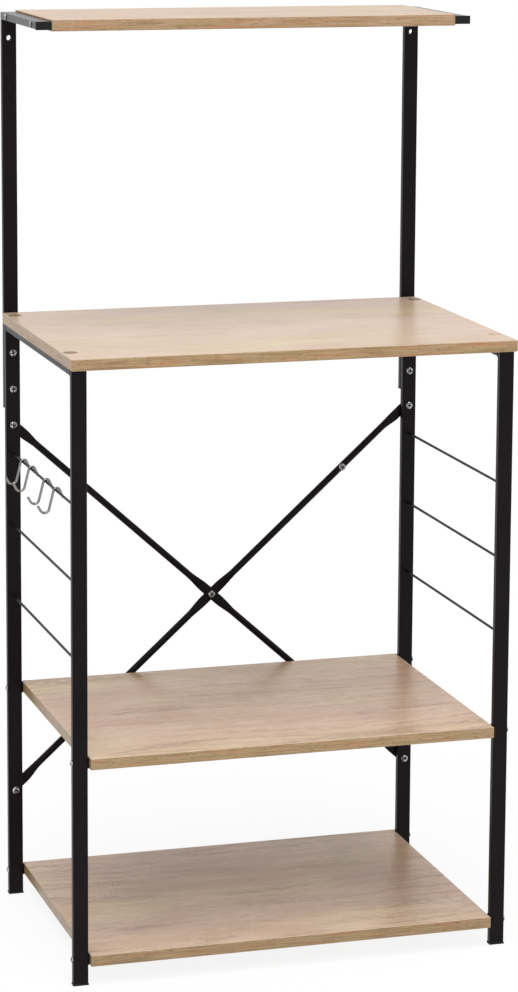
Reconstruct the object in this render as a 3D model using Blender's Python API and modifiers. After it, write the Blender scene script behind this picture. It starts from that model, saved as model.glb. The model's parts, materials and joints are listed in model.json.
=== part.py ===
"""Open kitchen stand of flat steel tube with four boards, a crossed rear brace and four S-hooks."""

import math

import bmesh
import bpy
from mathutils import Vector

# Gap between pieces that touch, how far a cut runs past the wall that it opens, and points merged as one
CLEARANCE = 0.0003
OVERRUN = 0.002
MERGE_DISTANCE = 0.000003

# Boards
TABLETOP_WIDTH = 0.600
BOARD_DEPTH = 0.400
BOARD_THICKNESS = 0.015
BOARD_EDGE = 0.0006
BOTTOM_SHELF_TOP = 0.042
MIDDLE_SHELF_TOP = 0.306
TABLETOP_TOP = 0.827
TOP_SHELF_TOP = 1.240
TOP_SHELF_DEPTH = 0.216

# Flat tube of the legs, uprights and arms, and the flatter rail under each end of the tabletop
TUBE_WIDTH = 0.020
TUBE_DEPTH = 0.010
TUBE_WALL = 0.001
TUBE_CORNER = 0.0011
RAIL_HEIGHT = 0.008
LEG_SIDE_INSET = 0.0017
LEG_FRONT_INSET = 0.008
UPRIGHT_OVERLAP = 0.1177
WALL_HOLE_RADIUS = 0.0038
WALL_HOLE_DROP = 0.02445

# Welded tabs between the legs and the ends of the two lower shelves
SHELF_SIDE_GAP = 0.002
TAB_HEIGHT = 0.0145

# Plastic caps: how far the flange stands out past the tube, its thickness, and the plug inside the tube
CAP_LIP = 0.0005
CAP_EDGE = 0.0004
CAP_THICKNESS = 0.0025
CAP_PLUG_LENGTH = 0.008

# Side rods
ROD_RADIUS = 0.00175
ROD_TOP_DROP = 0.1802
ROD_SPACING = 0.101
ROD_COUNT = 3

# Crossed rear brace: round tubes, flattened where a bolt passes
BRACE_RADIUS = 0.00475
BRACE_FLAT_THICKNESS = 0.002
BRACE_TOP_DROP = 0.1397
BRACE_BOTTOM_HEIGHT = 0.151
BRACE_END_FLAT = 0.022
BRACE_END_TAPER = 0.026
BRACE_MIDDLE_FLAT = 0.014
BRACE_MIDDLE_TAPER = 0.030
TUBE_BOLT_SHARE = 2 / 3

# Bolts of the rear legs and the brace; a drop is measured down from the top of the side frames
UPRIGHT_BOLT_DROPS = (0.0392, 0.0897)
BOLT_RADIUS = 0.003
BOLT_HEAD_RADIUS = 0.005
BOLT_HEAD_HEIGHT = 0.003
BOLT_HEAD_RIM = 0.0009
BOLT_SOCKET_RADIUS = 0.0021
BOLT_SOCKET_DEPTH = 0.0015
BOLT_TAIL = 0.002
TUBE_BOLT_GRIP = 0.007

# Screws that hold the shelves at their ends
SCREW_RADIUS = 0.0022
SCREW_HEAD_RADIUS = 0.0044
SCREW_HEAD_HEIGHT = 0.0022
SCREW_HEAD_RIM = 0.0006
SCREW_SOCKET_RADIUS = 0.0015
SCREW_SOCKET_DEPTH = 0.001
SCREW_GRIP = 0.020
TOP_SHELF_SCREW_INSET = 0.033

# Screws in the tabletop, under round cover heads
COVER_RADIUS = 0.009
COVER_HEIGHT = 0.0013
COVER_RIM = 0.0004
COVER_SEAT_DEPTH = 0.0008
COVER_SCREW_RADIUS = 0.0018
COVER_FRONT_INSET = 0.056
COVER_REAR_INSET = 0.026

# S-hooks: wire, bends, straight runs and lean
HOOK_WIRE_RADIUS = 0.0017
HOOK_TOP_BEND = 0.0044
HOOK_LOW_BEND = 0.0062
HOOK_STEM = 0.025
HOOK_TOP_LEG = 0.0115
HOOK_LOW_LEG = 0.0075
HOOK_LEAN = math.radians(14)
HOOK_TOP_SPLAY = math.radians(24)
HOOK_LOW_SPLAY = math.radians(30)
HOOK_PLACE_SHARES = (0.83, 0.697, 0.466, 0.31)

# Places that follow from the sizes: X is zero midway between the sides, Y midway from front to back
FRONT = -(BOARD_DEPTH + CLEARANCE + TUBE_DEPTH) / 2
BACK = FRONT + BOARD_DEPTH
LEG_X = TABLETOP_WIDTH / 2 - LEG_SIDE_INSET - TUBE_WIDTH / 2
LEG_INNER_X = LEG_X - TUBE_WIDTH / 2
FRONT_LEG_Y = FRONT + LEG_FRONT_INSET + TUBE_DEPTH / 2
REAR_LEG_Y = BACK - TUBE_DEPTH / 2
UPRIGHT_Y = BACK + CLEARANCE + TUBE_DEPTH / 2
FRAME_TOP = TABLETOP_TOP - BOARD_THICKNESS - CLEARANCE
TOP_SHELF_BACK = UPRIGHT_Y + TUBE_DEPTH / 2
ARM_Z = TOP_SHELF_TOP - BOARD_THICKNESS / 2
UPRIGHT_TOP = ARM_Z - TUBE_DEPTH / 2 - CLEARANCE
UPRIGHT_BOTTOM = FRAME_TOP - UPRIGHT_OVERLAP
UPRIGHT_BOLT_HEIGHTS = [FRAME_TOP - drop for drop in UPRIGHT_BOLT_DROPS]
WALL_HOLE_HEIGHT = UPRIGHT_TOP - WALL_HOLE_DROP
ROD_TOP_HEIGHT = FRAME_TOP - ROD_TOP_DROP
BRACE_TOP_HEIGHT = FRAME_TOP - BRACE_TOP_DROP
BRACE_Y = BACK + CLEARANCE + BRACE_RADIUS
BRACE_FLAT_WIDTH = (math.pi * 2 * BRACE_RADIUS - (math.pi - 2) * BRACE_FLAT_THICKNESS) / 2
SIDES = {"left": -1, "right": 1}
LEG_ROWS = {"front": FRONT_LEG_Y, "rear": REAR_LEG_Y}
SHELF_TOPS = {"middle": MIDDLE_SHELF_TOP, "bottom": BOTTOM_SHELF_TOP}
SHELF_HALF_WIDTH = LEG_INNER_X - SHELF_SIDE_GAP
TOP_SHELF_HALF_WIDTH = LEG_INNER_X - CAP_LIP - CLEARANCE
TOP_SHELF_FRONT = TOP_SHELF_BACK - TOP_SHELF_DEPTH
COVER_ROWS = {"front": FRONT + COVER_FRONT_INSET, "rear": BACK - COVER_REAR_INSET}
ARM_SCREW_ROWS = {
    "front": TOP_SHELF_FRONT + TOP_SHELF_SCREW_INSET,
    "rear": TOP_SHELF_BACK - TOP_SHELF_SCREW_INSET,
}
BRACE_RISE = (BRACE_TOP_HEIGHT - BRACE_BOTTOM_HEIGHT) / 2
BRACE_MIDDLE_HEIGHT = (BRACE_TOP_HEIGHT + BRACE_BOTTOM_HEIGHT) / 2
TUBE_BOLT_X = TUBE_BOLT_SHARE * LEG_X
TUBE_BOLT_HEIGHT = BRACE_MIDDLE_HEIGHT + TUBE_BOLT_SHARE * BRACE_RISE
BOLT_HEAD = (BOLT_HEAD_RADIUS, BOLT_HEAD_HEIGHT, BOLT_HEAD_RIM, BOLT_SOCKET_RADIUS, BOLT_SOCKET_DEPTH)
SCREW_HEAD = (SCREW_HEAD_RADIUS, SCREW_HEAD_HEIGHT, SCREW_HEAD_RIM, SCREW_SOCKET_RADIUS, SCREW_SOCKET_DEPTH)
COVER_HEAD = (COVER_RADIUS, COVER_HEIGHT, COVER_RIM, 0, 0)
BOLT_HOLE_RADIUS = BOLT_RADIUS + CLEARANCE
SCREW_HOLE_RADIUS = SCREW_RADIUS + CLEARANCE
COVER_HOLE_RADIUS = COVER_SCREW_RADIUS + CLEARANCE

# Fineness of round shapes
ROUND_SIDES = 12
DOME_STEPS = 3
BEND_STEPS = 8
TAPER_STEPS = 5
TIP_STEPS = 4

# Turns of pieces whose length or head doesn't point up
ALONG_X = (0, math.pi / 2, 0)
ALONG_Y = (-math.pi / 2, 0, 0)
FACING_FRONT = (math.pi / 2, 0, 0)
UNTURNED = (0, 0, 0)


def clear_scene():
    """Take away whatever the file holds."""
    for old in list(bpy.data.objects):
        bpy.data.objects.remove(old, do_unlink=True)


def new_collection(name):
    collection = bpy.data.collections.new(name)
    bpy.context.scene.collection.children.link(collection)
    return collection


def new_material(name, colour, roughness, metallic):
    """Principled material with one plain colour."""
    material = bpy.data.materials.new(name)
    material.use_nodes = True
    shader = material.node_tree.nodes["Principled BSDF"]
    shader.inputs["Base Color"].default_value = (*colour, 1)
    shader.inputs["Roughness"].default_value = roughness
    shader.inputs["Metallic"].default_value = metallic
    return material


clear_scene()
PARTS = new_collection("kitchen_stand")
CUTTERS = new_collection("cutters")
BLACK_STEEL = new_material("black_steel", (0.016, 0.014, 0.016), 0.45, 0.3)
OAK_BOARD = new_material("oak_board", (0.66, 0.54, 0.43), 0.5, 0)
BRIGHT_STEEL = new_material("bright_steel", (0.62, 0.62, 0.63), 0.3, 1)
CHROME_WIRE = new_material("chrome_wire", (0.55, 0.55, 0.54), 0.15, 1)
BLACK_PLASTIC = new_material("black_plastic", (0.012, 0.012, 0.012), 0.6, 0)
COVER_PLASTIC = new_material("cover_plastic", (0.36, 0.24, 0.16), 0.5, 0)


def place(name, mesh, material, location, rotation=UNTURNED):
    """Put a mesh in the scene as one named piece."""
    piece = bpy.data.objects.new(name, mesh)
    piece.location = location
    piece.rotation_euler = rotation
    PARTS.objects.link(piece)
    if not mesh.materials:
        mesh.materials.append(material)
    return piece


def place_tool(name, mesh, location, rotation=UNTURNED):
    """Put a mesh in the scene as a helper of a Boolean, which isn't a piece itself."""
    tool = bpy.data.objects.new(name, mesh)
    tool.location = location
    tool.rotation_euler = rotation
    tool.hide_render = True
    tool.display_type = "WIRE"
    CUTTERS.objects.link(tool)
    return tool


def boolean(piece, tool, operation):
    modifier = piece.modifiers.new(tool.name, "BOOLEAN")
    modifier.operation = operation
    modifier.solver = "EXACT"
    modifier.object = tool


def mesh_from(bm, name):
    mesh = bpy.data.meshes.new(name)
    bm.to_mesh(mesh)
    bm.free()
    return mesh


def box_mesh(name, size):
    bm = bmesh.new()
    bmesh.ops.create_cube(bm, size=1)
    bmesh.ops.scale(bm, vec=size, verts=bm.verts)
    return mesh_from(bm, name)


def rod_mesh(name, radius, length):
    """Round bar along local Z, centred on its origin."""
    bm = bmesh.new()
    bmesh.ops.create_cone(
        bm, cap_ends=True, segments=ROUND_SIDES, radius1=radius, radius2=radius, depth=length
    )
    mesh = mesh_from(bm, name)
    mesh.shade_smooth()
    mesh.set_sharp_from_angle(angle=math.radians(40))
    return mesh


def bevel(piece, width, segments=1):
    modifier = piece.modifiers.new("edges", "BEVEL")
    modifier.width = width
    modifier.segments = segments
    modifier.limit_method = "ANGLE"


def drill(piece, centre, direction, radius, length):
    """Cut a round hole through a piece, centred on a point."""
    name = f"{piece.name}_hole_{len(piece.modifiers)}"
    cutter = place_tool(name, rod_mesh(name, radius, length), centre, direction)
    boolean(piece, cutter, "DIFFERENCE")


def flat_tube(name, size, location, rotation=UNTURNED, closed_end=False):
    """Rectangular tube along local Z with rounded corners, open at its ends or closed at the +Z one."""
    bm = bmesh.new()
    bmesh.ops.create_cube(bm, size=1)
    bmesh.ops.scale(bm, vec=size, verts=bm.verts)
    mouths = [face for face in bm.faces if face.normal.z < 0 and not face.normal.xy.length]
    if not closed_end:
        mouths += [face for face in bm.faces if face.normal.z > 0 and not face.normal.xy.length]
    bmesh.ops.delete(bm, geom=mouths, context="FACES_ONLY")
    tube = place(name, mesh_from(bm, name), BLACK_STEEL, location, rotation)
    bevel(tube, TUBE_CORNER, 2)
    wall = tube.modifiers.new("wall", "SOLIDIFY")
    wall.thickness = TUBE_WALL
    wall.offset = -1
    wall.use_even_offset = True
    return tube


def post(name, low, high, x, y):
    """Upright flat tube between two heights."""
    return flat_tube(name, (TUBE_WIDTH, TUBE_DEPTH, high - low), (x, y, (low + high) / 2))


def board(name, half_width, front, back, top):
    """Flat board with softly broken edges, between two depths."""
    size = (2 * half_width, back - front, BOARD_THICKNESS)
    centre = (0, (front + back) / 2, top - BOARD_THICKNESS / 2)
    piece = place(name, box_mesh(name, size), OAK_BOARD, centre)
    bevel(piece, BOARD_EDGE)
    return piece


def plug_mesh(name, lip):
    """Cap for a tube's end: a flange below local Z zero and a plug above it that fits inside the wall."""
    bm = bmesh.new()
    bmesh.ops.create_cube(bm, size=1)
    size = (TUBE_WIDTH + 2 * lip, TUBE_DEPTH + 2 * lip, CAP_THICKNESS)
    bmesh.ops.scale(bm, vec=size, verts=bm.verts)
    bmesh.ops.translate(bm, vec=(0, 0, -CAP_THICKNESS / 2), verts=bm.verts)
    inner = [max(bm.faces, key=lambda face: face.normal.z)]
    bmesh.ops.inset_region(bm, faces=inner, thickness=lip + TUBE_WALL + CLEARANCE, use_even_offset=True)
    raised = bmesh.ops.extrude_face_region(bm, geom=inner)["geom"]
    corners = [item for item in raised if isinstance(item, bmesh.types.BMVert)]
    bmesh.ops.translate(bm, vec=(0, 0, CAP_PLUG_LENGTH), verts=corners)
    bmesh.ops.delete(bm, geom=inner, context="FACES")
    return mesh_from(bm, name)


def plug(name, location, rotation=UNTURNED, lip=CAP_LIP):
    """Plastic cap in a tube's end, its flange against the tube and its corners softened."""
    cap = place(name, plug_mesh(name, lip), BLACK_PLASTIC, location, rotation)
    bevel(cap, CAP_EDGE)


def fastener_profile(head, shank_radius, shank_length):
    """Half outline of a domed screw: the head above Z zero, from the socket's floor down to the tip."""
    head_radius, head_height, rim, socket_radius, socket_depth = head
    crown = head_height - rim
    dome_start = math.asin(socket_radius / head_radius)
    points = []
    if socket_radius:
        floor = rim + crown * math.cos(dome_start) - socket_depth
        points += [(0, floor), (socket_radius, floor)]
    for step in range(DOME_STEPS + 1):
        turn = dome_start + (math.pi / 2 - dome_start) * step / DOME_STEPS
        points.append((head_radius * math.sin(turn), rim + crown * math.cos(turn)))
    shank = [(shank_radius, 0), (shank_radius, -shank_length), (0, -shank_length)]
    return [*points, (head_radius, 0), *shank]


def turned_mesh(name, profile):
    """Open line in the XZ plane for a Screw modifier to turn about Z."""
    mesh = bpy.data.meshes.new(name)
    edges = [(index, index + 1) for index in range(len(profile) - 1)]
    mesh.from_pydata([(radius, 0, height) for radius, height in profile], edges, [])
    return mesh


def fastener(name, mesh, material, location, rotation):
    """Turned screw or bolt with its head's seat at the location and its head towards local +Z."""
    piece = place(name, mesh, material, location, rotation)
    turn = piece.modifiers.new("turn", "SCREW")
    turn.steps = ROUND_SIDES
    turn.render_steps = ROUND_SIDES
    turn.use_merge_vertices = True
    turn.merge_threshold = MERGE_DISTANCE
    turn.use_smooth_shade = True
    return piece


def bolt_mesh(name, shank_length):
    return turned_mesh(name, fastener_profile(BOLT_HEAD, BOLT_RADIUS, shank_length))


def screw_mesh(name, shank_length):
    return turned_mesh(name, fastener_profile(SCREW_HEAD, SCREW_RADIUS, shank_length))


def add_tabs(leg, side, y):
    """Weld a small tab to a leg's inner face at each lower shelf."""
    reach = SHELF_SIDE_GAP - CLEARANCE
    size = (reach + TUBE_WALL / 2, TUBE_DEPTH - 2 * TUBE_CORNER, TAB_HEIGHT)
    x = side * (LEG_INNER_X - reach + size[0] / 2)
    for shelf, top in SHELF_TOPS.items():
        name = f"{leg.name}_tab_{shelf}"
        tab = place_tool(name, box_mesh(name, size), (x, y, top - BOARD_THICKNESS / 2))
        boolean(leg, tab, "UNION")


def drill_leg(leg, row, x, y):
    """Holes of a leg: across it for the shelf screws, and through the rear ones for the bolts."""
    across = TUBE_WIDTH + 2 * (SHELF_SIDE_GAP + OVERRUN)
    for top in SHELF_TOPS.values():
        drill(leg, (x, y, top - BOARD_THICKNESS / 2), ALONG_X, SCREW_HOLE_RADIUS, across)
    if row == "rear":
        for height in (*UPRIGHT_BOLT_HEIGHTS, BRACE_TOP_HEIGHT, BRACE_BOTTOM_HEIGHT):
            drill(leg, (x, y, height), ALONG_Y, BOLT_HOLE_RADIUS, TUBE_DEPTH + 2 * OVERRUN)


def side_frames():
    """Legs with foot caps, top rails and thin side rods."""
    leg_bottom = CAP_THICKNESS + CLEARANCE
    run_front = FRONT_LEG_Y + TUBE_DEPTH / 2 + CLEARANCE
    run_back = REAR_LEG_Y - TUBE_DEPTH / 2 - CLEARANCE
    run = run_back - run_front
    middle = (run_front + run_back) / 2
    for side_name, side in SIDES.items():
        x = side * LEG_X
        for row, y in LEG_ROWS.items():
            leg = post(f"leg_{row}_{side_name}", leg_bottom, FRAME_TOP, x, y)
            add_tabs(leg, side, y)
            drill_leg(leg, row, x, y)
            plug(f"foot_cap_{row}_{side_name}", (x, y, CAP_THICKNESS))
        rail_size = (TUBE_WIDTH, RAIL_HEIGHT, run)
        rail_centre = (x, middle, FRAME_TOP - RAIL_HEIGHT / 2)
        rail = flat_tube(f"top_rail_{side_name}", rail_size, rail_centre, ALONG_Y)
        for y in COVER_ROWS.values():
            drill(rail, (x, y, FRAME_TOP), UNTURNED, COVER_HOLE_RADIUS, 2 * (TUBE_WALL + OVERRUN))
        for index in range(ROD_COUNT):
            name = f"side_rod_{side_name}_{index + 1}"
            height = ROD_TOP_HEIGHT - index * ROD_SPACING
            place(name, rod_mesh(name, ROD_RADIUS, run), BLACK_STEEL, (x, middle, height), ALONG_Y)


def drill_shelf_end(shelf, x, y, height):
    """Blind hole in the end of a shelf, with room past the screw's tip."""
    drill(shelf, (x, y, height), ALONG_X, SCREW_HOLE_RADIUS, 2 * (SCREW_GRIP + CLEARANCE))


def lower_boards():
    """Tabletop on the side frames and two shelves between the legs, with their screw holes."""
    tabletop = board("tabletop", TABLETOP_WIDTH / 2, FRONT, BACK, TABLETOP_TOP)
    for side in SIDES.values():
        for y in COVER_ROWS.values():
            seat = (side * LEG_X, y, TABLETOP_TOP)
            drill(tabletop, seat, UNTURNED, COVER_HOLE_RADIUS, 2 * (BOARD_THICKNESS + OVERRUN))
            drill(tabletop, seat, UNTURNED, COVER_RADIUS + CLEARANCE, 2 * COVER_SEAT_DEPTH)
    for name, top in SHELF_TOPS.items():
        shelf = board(f"shelf_{name}", SHELF_HALF_WIDTH, FRONT, BACK, top)
        for side in SIDES.values():
            for y in LEG_ROWS.values():
                drill_shelf_end(shelf, side * SHELF_HALF_WIDTH, y, top - BOARD_THICKNESS / 2)


def upper_frame():
    """Uprights behind the rear legs, arms on top of them and the top shelf between the arms."""
    arm_length = TOP_SHELF_DEPTH - CAP_THICKNESS - CLEARANCE
    arm_y = TOP_SHELF_BACK - arm_length / 2
    upright_bottom = UPRIGHT_BOTTOM + CAP_THICKNESS + CLEARANCE
    upright_front = UPRIGHT_Y - TUBE_DEPTH / 2
    one_wall = 2 * (TUBE_WALL + OVERRUN)
    shelf = board("shelf_top", TOP_SHELF_HALF_WIDTH, TOP_SHELF_FRONT, TOP_SHELF_BACK, TOP_SHELF_TOP)
    for side_name, side in SIDES.items():
        x = side * LEG_X
        upright = post(f"upright_{side_name}", upright_bottom, UPRIGHT_TOP, x, UPRIGHT_Y)
        for height in UPRIGHT_BOLT_HEIGHTS:
            drill(upright, (x, upright_front, height), ALONG_Y, BOLT_HOLE_RADIUS, one_wall)
        wall_hole = (x, UPRIGHT_Y, WALL_HOLE_HEIGHT)
        drill(upright, wall_hole, ALONG_Y, WALL_HOLE_RADIUS, TUBE_DEPTH + 2 * OVERRUN)
        plug(f"upright_plug_{side_name}", (x, UPRIGHT_Y, UPRIGHT_BOTTOM + CAP_THICKNESS), lip=0)
        arm_size = (TUBE_WIDTH, TUBE_DEPTH, arm_length)
        arm = flat_tube(f"arm_{side_name}", arm_size, (x, arm_y, ARM_Z), ALONG_Y, closed_end=True)
        plug(f"arm_cap_{side_name}", (x, TOP_SHELF_FRONT + CAP_THICKNESS, ARM_Z), ALONG_Y)
        for y in ARM_SCREW_ROWS.values():
            drill(arm, (x, y, ARM_Z), ALONG_X, SCREW_HOLE_RADIUS, TUBE_WIDTH + 2 * OVERRUN)
            drill_shelf_end(shelf, side * TOP_SHELF_HALF_WIDTH, y, ARM_Z)


def smooth_step(value):
    value = min(max(value, 0), 1)
    return value * value * (3 - 2 * value)


def brace_stations(half_length):
    """Places of the sections along half a brace tube, from its middle to the start of its round tip."""
    middle = [BRACE_MIDDLE_FLAT + BRACE_MIDDLE_TAPER * step / TAPER_STEPS for step in range(TAPER_STEPS + 1)]
    end_start = half_length - BRACE_END_FLAT - BRACE_END_TAPER
    end = [end_start + BRACE_END_TAPER * step / TAPER_STEPS for step in range(TAPER_STEPS + 1)]
    return (0, *middle, *end, half_length)


def brace_rings(half_length, middle_shift):
    """Sections of a brace tube: place along it, half width, half thickness, depth shift and flatness."""
    flat_half = BRACE_FLAT_THICKNESS / 2
    end_shift = flat_half - BRACE_RADIUS
    end_start = half_length - BRACE_END_FLAT - BRACE_END_TAPER
    rings = []
    for along in brace_stations(half_length):
        middle = smooth_step((BRACE_MIDDLE_FLAT + BRACE_MIDDLE_TAPER - along) / BRACE_MIDDLE_TAPER)
        end = smooth_step((along - end_start) / BRACE_END_TAPER)
        flat = max(middle, end)
        half_width = BRACE_RADIUS + (BRACE_FLAT_WIDTH / 2 - BRACE_RADIUS) * flat
        half_thickness = BRACE_RADIUS + (flat_half - BRACE_RADIUS) * flat
        rings.append((along, half_width, half_thickness, middle_shift * middle + end_shift * end, flat))
    reach = BRACE_FLAT_WIDTH / 2
    for step in range(1, TIP_STEPS):
        turn = math.pi / 2 * step / TIP_STEPS
        along = half_length + reach * math.sin(turn)
        rings.append((along, reach * math.cos(turn), flat_half, end_shift, 1))
    mirrored = [(-along, *rest) for along, *rest in rings[:0:-1]]
    return mirrored + rings


def section_point(turn, half_width, half_thickness, flat):
    """Point of a section that goes from a circle to a flattened oval."""
    power = 1 / (1 + flat)
    across = math.copysign(abs(math.cos(turn)) ** power, math.cos(turn)) * half_width
    depth = math.copysign(abs(math.sin(turn)) ** power, math.sin(turn)) * half_thickness
    return across, depth


def brace_mesh(name, half_length, middle_shift):
    """Loft along local X between round and flattened sections, with half-round ends."""
    bm = bmesh.new()
    rings = []
    for along, half_width, half_thickness, shift, flat in brace_rings(half_length, middle_shift):
        ring = []
        for index in range(ROUND_SIDES):
            turn = 2 * math.pi * (index + 0.5) / ROUND_SIDES
            across, depth = section_point(turn, half_width, half_thickness, flat)
            ring.append(bm.verts.new((along, depth + shift, across)))
        rings.append(ring)
    for first, second in zip(rings, rings[1:]):
        for index in range(ROUND_SIDES):
            after = (index + 1) % ROUND_SIDES
            bm.faces.new((first[index], first[after], second[after], second[index]))
    bm.faces.new(rings[0][::-1])
    bm.faces.new(rings[-1])
    bmesh.ops.recalc_face_normals(bm, faces=bm.faces)
    mesh = mesh_from(bm, name)
    mesh.shade_smooth()
    mesh.set_sharp_from_angle(angle=math.radians(40))
    return mesh


def rear_brace():
    """Two crossed tubes behind the rear legs, with bolt holes; the falling one passes in front."""
    half_length = math.hypot(LEG_X, BRACE_RISE)
    stack = (BRACE_FLAT_THICKNESS + CLEARANCE) / 2
    hole_length = 2 * (BRACE_RADIUS + OVERRUN)
    braces = {}
    for name, slope, shift in (("rising", 1, stack), ("falling", -1, -stack)):
        turn = (0, -slope * math.atan2(BRACE_RISE, LEG_X), 0)
        mesh = brace_mesh(f"brace_{name}", half_length, shift)
        braces[name] = place(mesh.name, mesh, BLACK_STEEL, (0, BRACE_Y, BRACE_MIDDLE_HEIGHT), turn)
        for share in (-1, 0, 1):
            centre = (share * LEG_X, BRACE_Y, BRACE_MIDDLE_HEIGHT + slope * share * BRACE_RISE)
            drill(braces[name], centre, ALONG_Y, BOLT_HOLE_RADIUS, hole_length)
    tube_front = (TUBE_BOLT_X, BRACE_Y - BRACE_RADIUS, TUBE_BOLT_HEIGHT)
    drill(braces["rising"], tube_front, ALONG_Y, BOLT_HOLE_RADIUS, 2 * (TUBE_BOLT_GRIP + CLEARANCE))


def frame_bolts():
    """Bolts through the rear legs into the uprights and the brace ends."""
    seat_y = REAR_LEG_Y - TUBE_DEPTH / 2 - CLEARANCE
    reach = BACK + CLEARANCE + BOLT_TAIL - seat_y
    upright_bolt = bolt_mesh("upright_bolt", reach + TUBE_WALL)
    brace_bolt = bolt_mesh("brace_bolt", reach + BRACE_FLAT_THICKNESS)
    brace_levels = {"upper": BRACE_TOP_HEIGHT, "lower": BRACE_BOTTOM_HEIGHT}
    for side_name, side in SIDES.items():
        x = side * LEG_X
        for index, height in enumerate(UPRIGHT_BOLT_HEIGHTS, start=1):
            name = f"upright_bolt_{side_name}_{index}"
            fastener(name, upright_bolt, BRIGHT_STEEL, (x, seat_y, height), FACING_FRONT)
        for level, height in brace_levels.items():
            name = f"brace_bolt_{level}_{side_name}"
            fastener(name, brace_bolt, BRIGHT_STEEL, (x, seat_y, height), FACING_FRONT)


def brace_bolts():
    """Bolt through the crossing of the brace and bolt in its rising tube."""
    stack_front = BRACE_Y - BRACE_FLAT_THICKNESS - CLEARANCE / 2
    cross_seat = (0, stack_front - CLEARANCE, BRACE_MIDDLE_HEIGHT)
    cross_length = 2 * (BRACE_Y - stack_front) + CLEARANCE + BOLT_TAIL
    fastener("cross_bolt", bolt_mesh("cross_bolt", cross_length), BRIGHT_STEEL, cross_seat, FACING_FRONT)
    tube_seat = (TUBE_BOLT_X, BRACE_Y - BRACE_RADIUS - CLEARANCE, TUBE_BOLT_HEIGHT)
    tube_bolt = bolt_mesh("brace_tube_bolt", CLEARANCE + TUBE_BOLT_GRIP)
    fastener("brace_tube_bolt", tube_bolt, BRIGHT_STEEL, tube_seat, FACING_FRONT)


def shelf_screws():
    """Screws through the legs and arms into the ends of the shelves."""
    head_x = LEG_X + TUBE_WIDTH / 2 + CLEARANCE
    lower_screw = screw_mesh("shelf_screw", head_x - SHELF_HALF_WIDTH + SCREW_GRIP - CLEARANCE)
    top_screw = screw_mesh("top_shelf_screw", head_x - TOP_SHELF_HALF_WIDTH + SCREW_GRIP - CLEARANCE)
    for side_name, side in SIDES.items():
        facing_out = (0, side * math.pi / 2, 0)
        x = side * head_x
        for row, y in LEG_ROWS.items():
            for shelf, top in SHELF_TOPS.items():
                name = f"{shelf}_shelf_screw_{row}_{side_name}"
                seat = (x, y, top - BOARD_THICKNESS / 2)
                fastener(name, lower_screw, BRIGHT_STEEL, seat, facing_out)
        for row, y in ARM_SCREW_ROWS.items():
            name = f"top_shelf_screw_{row}_{side_name}"
            fastener(name, top_screw, BRIGHT_STEEL, (x, y, ARM_Z), facing_out)


def tabletop_screws():
    """Screws down through the tabletop into the top rails, with round cover heads."""
    profile = fastener_profile(COVER_HEAD, COVER_SCREW_RADIUS, BOARD_THICKNESS + TUBE_WALL)
    mesh = turned_mesh("tabletop_screw", profile)
    seat_z = TABLETOP_TOP - COVER_SEAT_DEPTH + CLEARANCE
    for side_name, side in SIDES.items():
        for row, y in COVER_ROWS.items():
            name = f"tabletop_screw_{row}_{side_name}"
            fastener(name, mesh, COVER_PLASTIC, (side * LEG_X, y, seat_z), UNTURNED)


def bend_points(centre, radius, start, stop):
    """Points of a bend from one angle to another, measured from +X towards +Z."""
    for step in range(BEND_STEPS + 1):
        turn = start + (stop - start) * step / BEND_STEPS
        yield centre + radius * Vector((math.cos(turn), 0, math.sin(turn)))


def hook_points():
    """Centre line of an S-hook, from the short upper leg over the rod to the open lower tip."""
    seat = HOOK_TOP_BEND - HOOK_WIRE_RADIUS - ROD_RADIUS - CLEARANCE
    top_centre = Vector((0, 0, -seat))
    stem_turn = math.pi - HOOK_LEAN
    upward = Vector((math.sin(HOOK_LEAN), 0, math.cos(HOOK_LEAN)))
    across = Vector((-math.cos(HOOK_LEAN), 0, math.sin(HOOK_LEAN)))
    low_centre = top_centre + across * (HOOK_TOP_BEND + HOOK_LOW_BEND) - upward * HOOK_STEM
    top_bend = list(bend_points(top_centre, HOOK_TOP_BEND, HOOK_TOP_SPLAY, stem_turn))
    low_bend = list(bend_points(low_centre, HOOK_LOW_BEND, -HOOK_LEAN, HOOK_LOW_SPLAY - math.pi))
    top_leg = Vector((math.sin(HOOK_TOP_SPLAY), 0, -math.cos(HOOK_TOP_SPLAY))) * HOOK_TOP_LEG
    low_leg = Vector((-math.sin(HOOK_LOW_SPLAY), 0, math.cos(HOOK_LOW_SPLAY))) * HOOK_LOW_LEG
    return [top_bend[0] + top_leg, *top_bend, *low_bend, low_bend[-1] + low_leg]


def hook(name, y):
    """Bent wire hook with its origin on the rod's axis, which it swings about."""
    points = hook_points()
    curve = bpy.data.curves.new(name, "CURVE")
    curve.dimensions = "3D"
    curve.bevel_depth = HOOK_WIRE_RADIUS
    curve.bevel_resolution = 2
    curve.use_fill_caps = True
    spline = curve.splines.new("POLY")
    spline.points.add(len(points) - 1)
    for target, point in zip(spline.points, points):
        target.co = (*point, 1)
    spline.use_smooth = True
    curve.materials.append(CHROME_WIRE)
    piece = bpy.data.objects.new(name, curve)
    piece.location = (-LEG_X, y, ROD_TOP_HEIGHT)
    PARTS.objects.link(piece)


def hooks():
    rod_front = FRONT_LEG_Y + TUBE_DEPTH / 2
    rod_back = REAR_LEG_Y - TUBE_DEPTH / 2
    for index, share in enumerate(HOOK_PLACE_SHARES, start=1):
        hook(f"hook_{index}", rod_front + share * (rod_back - rod_front))


side_frames()
lower_boards()
upper_frame()
rear_brace()
frame_bolts()
brace_bolts()
shelf_screws()
tabletop_screws()
hooks()
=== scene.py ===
"""Looks of the open kitchen stand: finishes, fastenings, rods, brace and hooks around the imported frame."""

import json
import logging
import math
from abc import ABC, abstractmethod
from collections.abc import Iterator, Sequence
from dataclasses import dataclass
from enum import Enum

import bpy
from mathutils import Matrix, Vector


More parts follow.
